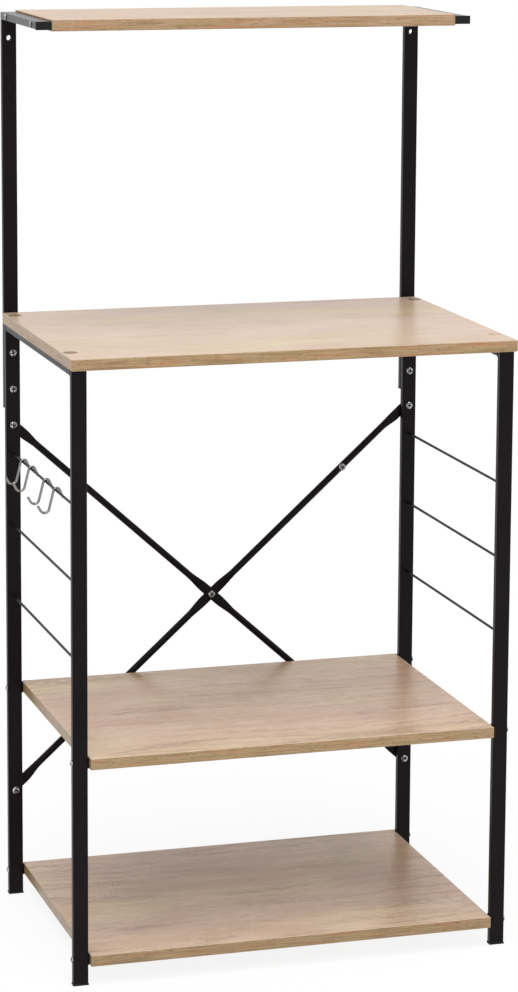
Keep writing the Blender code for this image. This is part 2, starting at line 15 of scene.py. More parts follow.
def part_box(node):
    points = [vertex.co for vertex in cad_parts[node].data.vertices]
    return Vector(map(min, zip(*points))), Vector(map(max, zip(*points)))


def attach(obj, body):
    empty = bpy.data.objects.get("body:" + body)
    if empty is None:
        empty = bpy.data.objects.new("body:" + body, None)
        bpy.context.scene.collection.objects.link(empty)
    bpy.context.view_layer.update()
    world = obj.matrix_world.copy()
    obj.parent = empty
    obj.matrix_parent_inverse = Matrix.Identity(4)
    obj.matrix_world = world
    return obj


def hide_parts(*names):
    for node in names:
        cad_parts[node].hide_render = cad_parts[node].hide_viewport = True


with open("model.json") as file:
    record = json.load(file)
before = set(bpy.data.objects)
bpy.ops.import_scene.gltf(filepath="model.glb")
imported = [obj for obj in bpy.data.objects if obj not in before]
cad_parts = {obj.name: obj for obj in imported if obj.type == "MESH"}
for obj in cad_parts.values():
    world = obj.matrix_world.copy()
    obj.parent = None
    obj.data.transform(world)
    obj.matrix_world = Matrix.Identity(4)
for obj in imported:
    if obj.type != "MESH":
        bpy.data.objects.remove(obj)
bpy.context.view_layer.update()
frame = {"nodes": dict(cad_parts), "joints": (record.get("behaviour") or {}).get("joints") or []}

Colour = tuple[float, float, float]
Point = tuple[float, float, float]

log = logging.getLogger("kitchen_stand")

SIDES = {"left": -1, "right": 1}
ROWS = ("front", "rear")


class Socket:
    """Output of a node; arithmetic on it adds Math nodes to its tree."""

    def __init__(self, output: bpy.types.NodeSocket) -> None:
        """Wrap one output socket."""
        self.output = output

    def math(self, operation: str, *operands: "Socket | float") -> "Socket":
        """Add a Math node.

        Args:
            operation: Name of the Math node's operation.
            operands: Its inputs in order, as sockets or numbers.

        Returns:
            The node's result.
        """
        graph = Graph(self.output.id_data)
        return graph.add("ShaderNodeMath", {"operation": operation}, dict(enumerate(operands)))

    def __add__(self, other: "Socket | float") -> "Socket":
        """Sum."""
        return self.math("ADD", self, other)

    def __radd__(self, other: float) -> "Socket":
        """Sum with a number on the left."""
        return self.math("ADD", other, self)

    def __sub__(self, other: "Socket | float") -> "Socket":
        """Difference."""
        return self.math("SUBTRACT", self, other)

    def __rsub__(self, other: float) -> "Socket":
        """Difference from a number on the left."""
        return self.math("SUBTRACT", other, self)

    def __mul__(self, other: "Socket | float") -> "Socket":
        """Product."""
        return self.math("MULTIPLY", self, other)

    def __rmul__(self, other: float) -> "Socket":
        """Product with a number on the left."""
        return self.math("MULTIPLY", other, self)

    def __truediv__(self, other: "Socket | float") -> "Socket":
        """Quotient."""
        return self.math("DIVIDE", self, other)

    def __rtruediv__(self, other: float) -> "Socket":
        """Quotient of a number on the left."""
        return self.math("DIVIDE", other, self)

    def __pow__(self, other: "Socket | float") -> "Socket":
        """Power."""
        return self.math("POWER", self, other)

    def __abs__(self) -> "Socket":
        """Size without its sign."""
        return self.math("ABSOLUTE", self)

    def sign(self) -> "Socket":
        """Sign, as -1, 0 or 1."""
        return self.math("SIGN", self)

    def sine(self) -> "Socket":
        """Sine of the value as an angle."""
        return self.math("SINE", self)

    def cosine(self) -> "Socket":
        """Cosine of the value as an angle."""
        return self.math("COSINE", self)

    def at_least(self, other: "Socket | float") -> "Socket":
        """Larger of the two."""
        return self.math("MAXIMUM", self, other)

    def step(self, low: float, high: float) -> "Socket":
        """Go softly from 0 to 1 between two levels, or from 1 to 0 where low is the larger.

        Args:
            low: Level that gives 0.
            high: Level that gives 1.

        Returns:
            The eased value, held between 0 and 1.
        """
        graph = Graph(self.output.id_data)
        settings = {"interpolation_type": "SMOOTHSTEP", "clamp": True}
        return graph.add("ShaderNodeMapRange", settings, {0: self, 1: low, 2: high, 3: 0.0, 4: 1.0})


class Graph:
    """Node tree that is being built."""

    MIX_COLOURS = (6, 7)
    MIX_RESULT = 2

    def __init__(self, tree: bpy.types.NodeTree) -> None:
        """Wrap a tree."""
        self.tree = tree

    def add(
        self,
        kind: str,
        settings: dict[str, object] | None = None,
        sockets: dict[str | int, object] | None = None,
        output: str | int = 0,
    ) -> Socket:
        """Add a node of any type.

        Args:
            kind: The node's type.
            settings: Its properties, set first; "stops" fills a colour ramp.
            sockets: Values or links of its inputs, by name or number.
            output: Which output to return.

        Returns:
            That output.
        """
        node = self.tree.nodes.new(kind)
        for name, value in (settings or {}).items():
            if name == "stops":
                self.fill_ramp(node.color_ramp, value)
            else:
                setattr(node, name, value)
        for name, value in (sockets or {}).items():
            if isinstance(value, Socket):
                self.tree.links.new(value.output, node.inputs[name])
            else:
                node.inputs[name].default_value = value
        return Socket(node.outputs[output])

    @staticmethod
    def fill_ramp(ramp: bpy.types.ColorRamp, stops: Sequence[tuple[float, Colour]]) -> None:
        """Set a ramp's stops.

        Args:
            ramp: The ramp of a Color Ramp node.
            stops: Pairs of position and colour, in order.
        """
        while len(ramp.elements) < len(stops):
            ramp.elements.new(1)
        for element, (position, colour) in zip(ramp.elements, stops):
            element.position = position
            element.color = (*colour, 1)

    def vector(self, x: Socket | float, y: Socket | float, z: Socket | float) -> Socket:
        """Join three numbers to a vector."""
        return self.add("ShaderNodeCombineXYZ", None, {0: x, 1: y, 2: z})

    def parts(self, vector: Socket) -> list[Socket]:
        """Split a vector into its three numbers."""
        first = self.add("ShaderNodeSeparateXYZ", None, {0: vector})
        return [Socket(output) for output in first.output.node.outputs]

    def mix(
        self, factor: Socket | float, first: Socket | Colour, second: Socket | Colour, blend: str = "MIX"
    ) -> Socket:
        """Mix two colours.

        Args:
            factor: 0 for the first colour, 1 for the second.
            first: Colour or socket.
            second: Colour or socket.
            blend: How the second colour is laid on the first.

        Returns:
            The mixed colour.
        """
        settings = {"data_type": "RGBA", "blend_type": blend}
        sockets: dict[str | int, object] = {0: factor}
        for key, end in zip(self.MIX_COLOURS, (first, second)):
            sockets[key] = end if isinstance(end, Socket) else (*end, 1)
        return self.add("ShaderNodeMix", settings, sockets, self.MIX_RESULT)

    def noise(self, vector: Socket, scale: float = 1, detail: float = 2, roughness: float = 0.5) -> Socket:
        """Add a noise pattern.

        Args:
            vector: Where the pattern is read.
            scale: Size of its features, as a count per unit.
            detail: Number of finer layers.
            roughness: Weight of the finer layers.

        Returns:
            The pattern, about 0.5 on average.
        """
        sockets = {"Vector": vector, "Scale": scale, "Detail": detail, "Roughness": roughness}
        return self.add("ShaderNodeTexNoise", {"noise_dimensions": "3D"}, sockets, "Fac")


class Surface(Graph):
    """Node tree of a material, around its Principled shader."""

    def __init__(self, name: str) -> None:
        """Make the material and read its Object coordinates.

        Args:
            name: Name of the material.
        """
        self.material = bpy.data.materials.new(name)
        self.material.use_nodes = True
        super().__init__(self.material.node_tree)
        self.shader = self.tree.nodes["Principled BSDF"]
        self.place = self.add("ShaderNodeTexCoord", output="Object")
        self.facing = self.add("ShaderNodeTexCoord", output="Normal")

    def stored(self, name: str) -> Socket:
        """Read a number that the mesh stores at each point."""
        return self.add("ShaderNodeAttribute", {"attribute_name": name}, output="Fac")

    def stretched(self, scales: Point) -> Socket:
        """Stretch the Object coordinates by a scale for each axis."""
        return self.vector(*(part * scale for part, scale in zip(self.parts(self.place), scales)))

    def dress(self, **sockets: object) -> None:
        """Set the shader's inputs.

        Args:
            sockets: Values or links by input name, with an underscore for each space.
        """
        for name, value in sockets.items():
            target = self.shader.inputs[name.replace("_", " ")]
            if isinstance(value, Socket):
                self.tree.links.new(value.output, target)
            else:
                target.default_value = value

    def relief(self, height: Socket, depth: float, strength: float = 1) -> Socket:
        """Turn a height pattern into a bumped normal.

        Args:
            height: Pattern from 0 to 1.
            depth: Height of the pattern in metres.
            strength: Weight of the bump.

        Returns:
            The normal.
        """
        sockets = {"Height": height, "Distance": depth, "Strength": strength}
        return self.add("ShaderNodeBump", None, sockets, "Normal")


class Finish(ABC):
    """Look of a surface, as a material that each kind of finish fills in its own way."""

    def material(self, name: str) -> bpy.types.Material:
        """Build the finish.

        Args:
            name: Name of the material.

        Returns:
            The material.
        """
        surface = Surface(name)
        self.fill(surface)
        return surface.material

    @abstractmethod
    def fill(self, surface: Surface) -> None:
        """Set the inputs of the surface's shader."""


@dataclass(frozen=True)
class PowderCoat(Finish):
    """Satin black powder coat with the fine peel and grit of the real one."""

    dark: Colour = (0.0066, 0.0045, 0.0058)
    light: Colour = (0.0122, 0.0085, 0.0112)
    gloss: float = 0.34
    sheen_level: float = 0.10
    peel_scale: float = 620
    peel_haze: float = 0.12
    peel_depth: float = 0.00006
    grit_scale: float = 2400
    grit_tone: float = 0.5
    grit_relief: float = 0.35
    cloud_scale: float = 11
    cloud_floor: float = 0.3
    cloud_tone: float = 1.2
    cloud_haze: float = 0.14
    bump: float = 0.5

    def fill(self, surface: Surface) -> None:
        """Set the inputs of the surface's shader.

        Args:
            surface: Material that is being built.
        """
        peel = surface.noise(surface.place, self.peel_scale, 2)
        grit = surface.noise(surface.place, self.grit_scale, 1)
        cloud = surface.noise(surface.place, self.cloud_scale, 3)
        tone = (cloud - self.cloud_floor) * self.cloud_tone + (grit - 0.5) * self.grit_tone
        surface.dress(
            Base_Color=surface.mix(tone, self.dark, self.light),
            Roughness=self.gloss + (peel - 0.5) * self.peel_haze + (cloud - 0.5) * self.cloud_haze,
            Normal=surface.relief(peel + grit * self.grit_relief, self.peel_depth, self.bump),
            Specular_IOR_Level=self.sheen_level,
        )


@dataclass(frozen=True)
class BoardLook:
    """How the foil lies on one board and what sets its tone apart, with painted shade and painted reflection
    in its tints.
    """

    node: str
    shift: float
    # Tint of the faces: partly the board's own tone, partly painted light, darker on the bottom shelf as
    # painted shade and paler and bluer on the upper boards as painted reflection.
    cast: Colour
    # Tint of the bands: darker on the lower boards as painted shade.
    band_tint_and_shade: Colour
    contrast: float = 1.2
    ray_share: float = 0.42
    gloss: float = 0.30
    specular: float = 0.5


@dataclass(frozen=True)
class Layer:
    """Layer of the foil's pattern: noise with its count of features a metre each way, and its weight."""

    along: float
    across: float
    level: float = 0.0
    detail: float = 1
    roughness: float = 0.5
    edges: tuple[float, float] | None = None
    weight: float = 1.0

    def read(self, surface: Surface, place: Socket) -> Socket:
        """Read the noise at a place; with edges, it goes from 0 to 1 between them."""
        noise = surface.noise(place, 1, self.detail, self.roughness)
        return noise.step(*self.edges) if self.edges else noise

    def on_face(
        self, surface: Surface, along: Socket, across: Socket, height: Socket | None = None
    ) -> Socket:
        """Read the layer on a board's face.

        Args:
            surface: Material that is being built.
            along: Place along the grain.
            across: Place across it.
            height: Place through the board, or none for the layer's own level.

        Returns:
            The layer's value.
        """
        level = self.level if height is None else height
        return self.read(surface, surface.vector(along * self.along, across * self.across, level))

    def on_band(self, surface: Surface, along: Socket, height: Socket) -> Socket:
        """Read the layer on a banded edge, by the place along it and the height."""
        return self.read(surface, surface.vector(along * self.along, self.level, height * self.across))


@dataclass(frozen=True)
class OakFoil(Finish):
    """Light oak foil on a board, with its edge banding."""

    top: float
    thickness: float
    look: BoardLook
    pale: Colour = (0.655, 0.492, 0.372)
    honey: Colour = (0.558, 0.391, 0.276)
    grey: Colour = (0.440, 0.303, 0.214)
    tone_shares: tuple[float, float, float] = (0.08, 0.46, 0.88)
    rose: Colour = (0.520, 0.318, 0.228)
    vein: Colour = (0.320, 0.190, 0.120)
    ray: Colour = (0.720, 0.545, 0.420)
    straw: Colour = (1.00, 1.02, 0.86)
    blush: Colour = (1.00, 0.965, 0.985)
    band_light: Colour = (0.520, 0.365, 0.210)
    band_warm: Colour = (0.535, 0.290, 0.150)
    band_olive: Colour = (0.410, 0.310, 0.145)
    band_dark: Colour = (0.260, 0.155, 0.080)
    # Painted shade on the end faces.
    end_painted_shade: Colour = (0.92, 0.93, 0.93)
    sway: Layer = Layer(2.2, 4, weight=0.07)
    wave: Layer = Layer(12, 26, detail=3, roughness=0.65, weight=0.016)
    patches: Layer = Layer(7, 13, 0.0, 2, weight=0.9)
    streaks: Layer = Layer(6, 70, 2.0, 4, 0.62)
    dashes: Layer = Layer(52, 230, 4.0, 2, 0.65)
    fibres: Layer = Layer(95, 1300, 6.0, weight=0.3)
    vein_lines: Layer = Layer(2.3, 17, 8.0, weight=0.6)
    vein_width: tuple[float, float] = (0.045, 0.008)
    vein_ground: tuple[float, float] = (0.62, 0.42)
    vein_breaks: Layer = Layer(60, 420, 10.0, edges=(0.38, 0.56))
    pores: Layer = Layer(45, 900, 9.0, edges=(0.62, 0.74), weight=0.12)
    warmth: Layer = Layer(5, 15, 12.0, 2, edges=(0.50, 0.68), weight=0.55)
    casts: Layer = Layer(1.7, 8, 15.0)
    straw_edges: tuple[float, float] = (0.50, 0.66)
    blush_edges: tuple[float, float] = (0.50, 0.36)
    front_edges: tuple[float, float] = (-0.11, -0.19)
    front_weight: float = 0.8
    flecks: Layer = Layer(62, 400, 17.0, edges=(0.58, 0.74), weight=0.32)
    ray_patches: Layer = Layer(13, 19, edges=(0.58, 0.64))
    ray_sway: Layer = Layer(40, 18, detail=3, roughness=0.6, weight=0.011)
    ray_ends: Layer = Layer(150, 60, detail=2, edges=(0.44, 0.56))
    ray_pitch: float = 0.0052
    ray_edges: tuple[float, float] = (0.0, 0.8)
    band_lean: float = 0.9
    band_streaks: Layer = Layer(14, 520, 0.0, 4, 0.65, (0.24, 0.60))
    band_warmth: Layer = Layer(17, 190, 7.0, 2, edges=(0.46, 0.66))
    band_olives: Layer = Layer(13, 150, 11.0, 2, edges=(0.48, 0.66), weight=0.8)
    band_specks: Layer = Layer(100, 430, 3.0, 2, 0.6, (0.54, 0.68), weight=0.7)
    end_edges: tuple[float, float] = (0.6, 0.9)
    foot_edges: tuple[float, float] = (0.0022, 0.0004)
    foot_weight: float = 0.6
    # Mask and weight of the painted highlight on the bevelled arrises.
    arris_highlight_edges: tuple[float, float] = (0.2, 0.6)
    arris_highlight: float = 0.5
    face_edges: tuple[float, float] = (0.75, 0.95)
    tone_haze: float = 0.06
    pore_haze: float = 0.05
    pore_relief: float = 0.5
    grain_depth: float = 0.00005
    bump: float = 0.25

    def lie(self, surface: Surface) -> tuple[Socket, Socket]:
        """Measure along and across the grain, which runs along X and sways slowly.

        Args:
            surface: Material that is being built.

        Returns:
            Place along the grain and place across it.
        """
        x, y, z = surface.parts(surface.place)
        along = x + self.look.shift
        sway, wave = (layer.on_face(surface, along, y, z) for layer in (self.sway, self.wave))
        return along, y + (sway - 0.5) * self.sway.weight + (wave - 0.5) * self.wave.weight

    def grain(self, surface: Surface) -> tuple[Socket, Socket, Socket]:
        """Make the grain of the faces.

        Args:
            surface: Material that is being built.

        Returns:
            Tone of the wood from 0, dark, to 1, pale, its long veins and its pores.
        """
        at = (surface, *self.lie(surface))
        layers = (self.patches, self.streaks, self.dashes, self.fibres)
        values = [layer.on_face(*at) for layer in layers]
        tone = sum((value - 0.5) * layer.weight for value, layer in zip(values, layers))
        lines = abs(self.vein_lines.on_face(*at) - 0.5).step(*self.vein_width)
        veins = lines * values[0].step(*self.vein_ground) * self.vein_breaks.on_face(*at)
        return 0.5 + tone * self.look.contrast, veins * self.look.contrast, self.pores.on_face(*at)

    def rays(self, surface: Surface) -> Socket:
        """Make the patches of pale strokes that lie across the grain like a ladder's rungs.

        Args:
            surface: Material that is being built.

        Returns:
            How far each place is paled.
        """
        x, y, z = surface.parts(surface.place)
        at = (surface, x + self.look.shift, y, z)
        sway = (self.ray_sway.on_face(*at) - 0.5) * self.ray_sway.weight
        rungs = ((at[1] + sway) * (2 * math.pi / self.ray_pitch)).sine().step(*self.ray_edges)
        return self.ray_patches.on_face(*at) * rungs * self.ray_ends.on_face(*at) * self.look.ray_share

    def face(self, surface: Surface, tone: Socket, veins: Socket) -> Socket:
        """Make the colour of the faces.

        Args:
            surface: Material that is being built.
            tone: Tone of the wood.
            veins: Its long veins.

        Returns:
            The colour.
        """
        at = (surface, *self.lie(surface))
        stops = list(zip(self.tone_shares, (self.grey, self.honey, self.pale)))
        wood = surface.add("ShaderNodeValToRGB", {"stops": stops}, {0: tone}, "Color")
        warm = self.warmth.on_face(*at) * (self.warmth.weight * self.look.contrast)
        wood = surface.mix(warm, wood, self.rose)
        wood = surface.mix(veins * self.vein_lines.weight, wood, self.vein)
        casts = self.casts.on_face(*at)
        _, depth, _ = surface.parts(surface.place)
        straw = casts.step(*self.straw_edges) + depth.step(*self.front_edges) * self.front_weight
        wood = surface.mix(straw, wood, self.straw, "MULTIPLY")
        wood = surface.mix(casts.step(*self.blush_edges), wood, self.blush, "MULTIPLY")
        # Board's tint: partly its own tone, partly painted shade on the lower boards and painted reflection
        # on the upper ones.
        wood = surface.mix(1.0, wood, self.look.cast, "MULTIPLY")
        flecks = self.flecks.on_face(*at) * (self.flecks.weight * self.look.contrast)
        return surface.mix(self.rays(surface), surface.mix(flecks, wood, self.ray), self.ray)

    def banding(self, surface: Surface) -> Socket:
        """Make the colour of the banded edges, with streaks and dashes along them.

        Args:
            surface: Material that is being built.

        Returns:
            The colour, darker towards the lower arris.
        """
        x, y, z = surface.parts(surface.place)
        at = (surface, x + y * self.band_lean + self.look.shift, z + self.look.shift)
        wood = surface.mix(self.band_warmth.on_band(*at), self.band_light, self.band_warm)
        wood = surface.mix(self.band_olives.on_band(*at) * self.band_olives.weight, wood, self.band_olive)
        wood = surface.mix(self.band_streaks.on_band(*at), self.band_dark, wood)
        wood = surface.mix(self.band_specks.on_band(*at) * self.band_specks.weight, wood, self.band_dark)
        # Painted shade: the bands are darker on the lower boards.
        wood = surface.mix(1.0, wood, self.look.band_tint_and_shade, "MULTIPLY")
        side, _, _ = surface.parts(surface.facing)
        # Painted shade: the end faces are darkened and tinted by a fixed factor.
        wood = surface.mix(abs(side).step(*self.end_edges), wood, self.end_painted_shade, "MULTIPLY")
        foot = (z - (self.top - self.thickness)).step(*self.foot_edges)
        return surface.mix(foot * self.foot_weight, wood, self.band_dark)

    def fill(self, surface: Surface) -> None:
        """Set the inputs of the surface's shader.

        Args:
            surface: Material that is being built.
        """
        tone, veins, pores = self.grain(surface)
        face = surface.mix(pores * self.pores.weight, self.face(surface, tone, veins), self.vein)
        band = self.banding(surface)
        _, _, up = surface.parts(surface.facing)
        # Painted highlight: the bevelled arrises are mixed towards the pale wood.
        arris = surface.mix(self.arris_highlight, band, self.pale)
        edge = surface.mix(abs(up).step(*self.arris_highlight_edges), band, arris)
        surface.dress(
            Base_Color=surface.mix(abs(up).step(*self.face_edges), edge, face),
            Roughness=self.look.gloss + (1 - tone) * self.tone_haze + pores * self.pore_haze,
            Specular_IOR_Level=self.look.specular,
            Normal=surface.relief(tone - pores * self.pore_relief, self.grain_depth, self.bump),
        )


@dataclass(frozen=True)
class ZincPlate(Finish):
    """Bright zinc plate with turned rings, dark patches of painted reflection and painted shade in the
    recess.
    """

    colour: Colour = (0.60, 0.60, 0.61)
    # Dark of the painted reflection: stands in for dark surroundings mirrored in the head.
    painted_reflection_dark: Colour = (0.10, 0.10, 0.105)
    # Near-black of the recess: painted shade.
    hollow: Colour = (0.012, 0.012, 0.013)
    gloss: float = 0.20
    ring_scale: float = 2600
    ring_weight: float = 0.4
    ring_depth: float = 0.00002
    bloom_scale: float = 420
    bloom_weight: float = 1.1
    bloom_haze: float = 0.10
    painted_reflection_edges: tuple[float, float] = (0.60, 0.92)
    recess_shade_edges: tuple[float, float] = (0.05, 0.6)
    hollow_haze: float = 0.3
    bump: float = 0.3

    def fill(self, surface: Surface) -> None:
        """Set the inputs of the surface's shader.

        Args:
            surface: Material that is being built.
        """
        depth = surface.stored("hollow")
        rings = surface.noise(surface.vector(surface.stored("ring") * self.ring_scale, 0.0, 0.0), 1, 2)
        bloom = surface.noise(surface.place, self.bloom_scale, 2)
        # The head goes from dark to bright by the turned rings and by noise patches: partly the rings,
        # partly painted reflection.
        rings_and_painted_reflection = (rings * self.ring_weight + bloom * self.bloom_weight).step(*self.painted_reflection_edges)
        metal = surface.mix(rings_and_painted_reflection, self.painted_reflection_dark, self.colour)
        surface.dress(
            # Painted shade: the recess is darkened towards near-black by its depth.
            Base_Color=surface.mix(depth.step(*self.recess_shade_edges), metal, self.hollow),
            Metallic=1.0,
            Roughness=self.gloss + bloom * self.bloom_haze + depth * self.hollow_haze,
            Normal=surface.relief(rings, self.ring_depth, self.bump),
        )


@dataclass(frozen=True)
class ChromeWire(Finish):
    """Polished wire, darker where its sides turn away: painted reflection along it."""

    colour: Colour = (0.31, 0.30, 0.29)
    # Dark of the painted reflection on the wire's sides.
    painted_reflection_dark: Colour = (0.050, 0.047, 0.046)
    gloss: float = 0.14
    side_reflection_edges: tuple[float, float] = (0.45, 0.92)
    side_reflection_weight: float = 0.75
    mark_scales: Point = (900, 5200, 300)
    mark_weight: float = 0.35
    mark_depth: float = 0.00002
    haze_scale: float = 160
    haze_weight: float = 0.3
    haze_gloss: float = 0.10
    painted_reflection_edges: tuple[float, float] = (0.20, 1.0)
    bump: float = 0.3

    def fill(self, surface: Surface) -> None:
        """Set the inputs of the surface's shader.

        Args:
            surface: Material that is being built.
        """
        marks = surface.noise(surface.stretched(self.mark_scales), 1, 2)
        haze = surface.noise(surface.place, self.haze_scale, 3)
        _, aside, _ = surface.parts(surface.facing)
        # Painted reflection: faces towards the front and back are bright and the wire's sides are dark, as
        # chrome mirrors dark surroundings.
        painted_side_reflection = abs(aside).step(*self.side_reflection_edges)
        tone = painted_side_reflection * self.side_reflection_weight + marks * self.mark_weight + haze * self.haze_weight
        surface.dress(
            Base_Color=surface.mix(tone.step(*self.painted_reflection_edges), self.painted_reflection_dark, self.colour),
            Metallic=1.0,
            Roughness=self.gloss + haze * self.haze_gloss,
            Normal=surface.relief(marks, self.mark_depth, self.bump),
        )


@dataclass(frozen=True)
class MouldedPlastic(Finish):
    """Matte moulded plastic with a fine spark-eroded grain."""

    dark: Colour = (0.006, 0.006, 0.0065)
    light: Colour = (0.016, 0.0155, 0.016)
    gloss: float = 0.58
    sheen_level: float = 0.2
    grain_scale: float = 3200
    grain_weight: float = 0.5
    grain_depth: float = 0.00004
    scuff_scale: float = 95
    scuff_weight: float = 0.7
    scuff_haze: float = 0.2
    tone_edges: tuple[float, float] = (0.4, 0.85)
    bump: float = 0.5

    def fill(self, surface: Surface) -> None:
        """Set the inputs of the surface's shader.

        Args:
            surface: Material that is being built.
        """
        grain = surface.noise(surface.place, self.grain_scale, 2)
        scuffs = surface.noise(surface.place, self.scuff_scale, 4, 0.65)
        tone = (scuffs * self.scuff_weight + grain * self.grain_weight).step(*self.tone_edges)
        surface.dress(
            Base_Color=surface.mix(tone, self.dark, self.light),
            Roughness=self.gloss + (scuffs - 0.5) * self.scuff_haze,
            Normal=surface.relief(grain, self.grain_depth, self.bump),
            Specular_IOR_Level=self.sheen_level,
        )


@dataclass(frozen=True)
class CoverPrint(Finish):
    """Plastic of the tabletop's cover heads, in a wood tone with a darker rim of painted shade where the
    head meets its seat.
    """

    light: Colour = (0.400, 0.252, 0.142)
    dark: Colour = (0.160, 0.096, 0.046)
    gloss: float = 0.42
    streak_scales: Point = (60, 900, 200)
    streak_edges: tuple[float, float] = (0.3, 0.7)
    streak_haze: float = 0.12
    streak_depth: float = 0.00005
    bump: float = 0.4
    rim_shade_edges: tuple[float, float] = (0.00667, 0.00567)

    def fill(self, surface: Surface) -> None:
        """Set the inputs of the surface's shader.

        Args:
            surface: Material that is being built.
        """
        streaks = surface.noise(surface.stretched(self.streak_scales), 1, 3)
        # Painted shade: the outer ring of the head is dark.
        rim = surface.stored("ring").step(*self.rim_shade_edges)
        surface.dress(
            Base_Color=surface.mix(streaks.step(*self.streak_edges) * rim, self.dark, self.light),
            Roughness=self.gloss + streaks * self.streak_haze,
            Normal=surface.relief(streaks, self.streak_depth, self.bump),
        )


class ShapeTree(Graph):
    """Geometry Nodes tree with named inputs, whose result is baked to a plain mesh."""

    KINDS = {
        "Material": "NodeSocketMaterial",
        "Form": "NodeSocketObject",
        float: "NodeSocketFloat",
        int: "NodeSocketInt",
    }

    def __init__(self, name: str, inputs: dict[str, object]) -> None:
        """Make the tree and its inputs.

        Args:
            name: Name of the tree.
            inputs: Starting values by input name. Form takes an object, and Material is always there.
        """
        super().__init__(bpy.data.node_groups.new(name, "GeometryNodeTree"))
        face = self.tree.interface
        face.new_socket("Geometry", in_out="OUTPUT", socket_type="NodeSocketGeometry")
        face.new_socket("Geometry", in_out="INPUT", socket_type="NodeSocketGeometry")
        self.keys = {}
        for label, value in {"Material": None, **inputs}.items():
            kind = self.KINDS.get(label) or self.KINDS[type(value)]
            self.keys[label] = face.new_socket(label, in_out="INPUT", socket_type=kind)
            if value is not None:
                self.keys[label].default_value = value
        self.entry = self.tree.nodes.new("NodeGroupInput")

    def given(self, label: str) -> Socket:
        """Read one of the tree's inputs."""
        return Socket(self.entry.outputs[label])

    def stored(self, name: str, kind: str) -> Socket:
        """Read what the mesh stores under a name at each point."""
        return self.add("GeometryNodeInputNamedAttribute", {"data_type": kind}, {"Name": name})

    def close(self, geometry: Socket) -> None:
        """End the tree in real, finished geometry.

        Args:
            geometry: What the tree has made.
        """
        real = self.add("GeometryNodeRealizeInstances", None, {0: geometry})
        smooth = self.add("GeometryNodeSetShadeSmooth", None, {"Geometry": real})
        dressed = {"Geometry": smooth, "Material": self.given("Material")}
        finished = self.add("GeometryNodeSetMaterial", None, dressed)
        end = self.tree.nodes.new("NodeGroupOutput")
        self.tree.links.new(finished.output, end.inputs["Geometry"])

    def bake(self, name: str, base: bpy.types.Mesh, **values: object) -> bpy.types.Object:
        """Run the tree on a mesh and keep what it makes as a plain object.

        Args:
            name: Name of the finished piece.
            base: Mesh that the tree starts from.
            values: Inputs by name, with an underscore for each space.

        Returns:
            The piece, with no modifier left on it.
        """
        source = bpy.data.objects.new(f"{name}_source", base)
        bpy.context.scene.collection.objects.link(source)
        modifier = source.modifiers.new("shape", "NODES")
        modifier.node_group = self.tree
        for label, value in values.items():
            modifier[self.keys[label.replace("_", " ")].identifier] = value
        graph = bpy.context.evaluated_depsgraph_get()
        mesh = bpy.data.meshes.new_from_object(source.evaluated_get(graph))
        bpy.data.objects.remove(source, do_unlink=True)
        mesh.name = name
        piece = bpy.data.objects.new(name, mesh)
        bpy.context.scene.collection.objects.link(piece)
        return piece


class RepeatTree(ShapeTree):
    """Puts a form on every point of a mesh, turned to face the way that the point says."""

    SIZE_SEED = 7

    def __init__(self) -> None:
        """Build the tree."""
        super().__init__("repeat_form", {"Form": None, "Turn Spread": 0.0, "Size Spread": 0.0, "Seed": 1})
        turn, size, seed = self.given("Turn Spread"), self.given("Size Spread"), self.given("Seed")
        facing = self.stored("facing", "FLOAT_VECTOR")
        aligned = self.add("FunctionNodeAlignRotationToVector", {"axis": "Z"}, {"Vector": facing})
        own = {"Axis": (0, 0, 1), "Angle": self.drawn(turn * -1, turn, seed)}
        turns = {"Rotation": aligned, "Rotate By": self.add("FunctionNodeAxisAngleToRotation", None, own)}
        form = self.add("GeometryNodeObjectInfo", None, {"Object": self.given("Form")}, "Geometry")
        sockets = {
            "Points": self.given("Geometry"),
            "Instance": form,
            "Rotation": self.add("FunctionNodeRotateRotation", {"rotation_space": "LOCAL"}, turns),
            "Scale": self.drawn(1 - size, 1 + size, seed + self.SIZE_SEED),
        }
        self.close(self.add("GeometryNodeInstanceOnPoints", None, sockets))

    def drawn(self, low: Socket, high: Socket, seed: Socket) -> Socket:
        """Draw a random number for each point.

        Args:
            low: Least number.
            high: Largest number.
            seed: Seed of the draw.

        Returns:
            The number.
        """
        sockets = {2: low, 3: high, "Seed": seed}
        return self.add("FunctionNodeRandomValue", {"data_type": "FLOAT"}, sockets, 1)

    def scatter(
        self,
        name: str,
        form: bpy.types.Mesh,
        places: Sequence[Point],
        facings: Sequence[Point],
        **values: object,
    ) -> bpy.types.Object:
        """Repeat a form on points, each turned at random about the way that it faces.

        Args:
            name: Name of the finished piece.
            form: Mesh of the form, which stands on Z zero.
            places: Where the forms stand.
            facings: The ways that they face.
            values: The tree's other inputs by name, with an underscore for each space.

        Returns:
            The piece.
        """
        stencil = bpy.data.objects.new(form.name, form)
        points = mesh_of(f"{name}_points", places)
        write_attribute(points, "facing", facings)
        piece = self.bake(name, points, Form=stencil, Turn_Spread=math.pi, **values)
        bpy.data.objects.remove(stencil)
        return piece


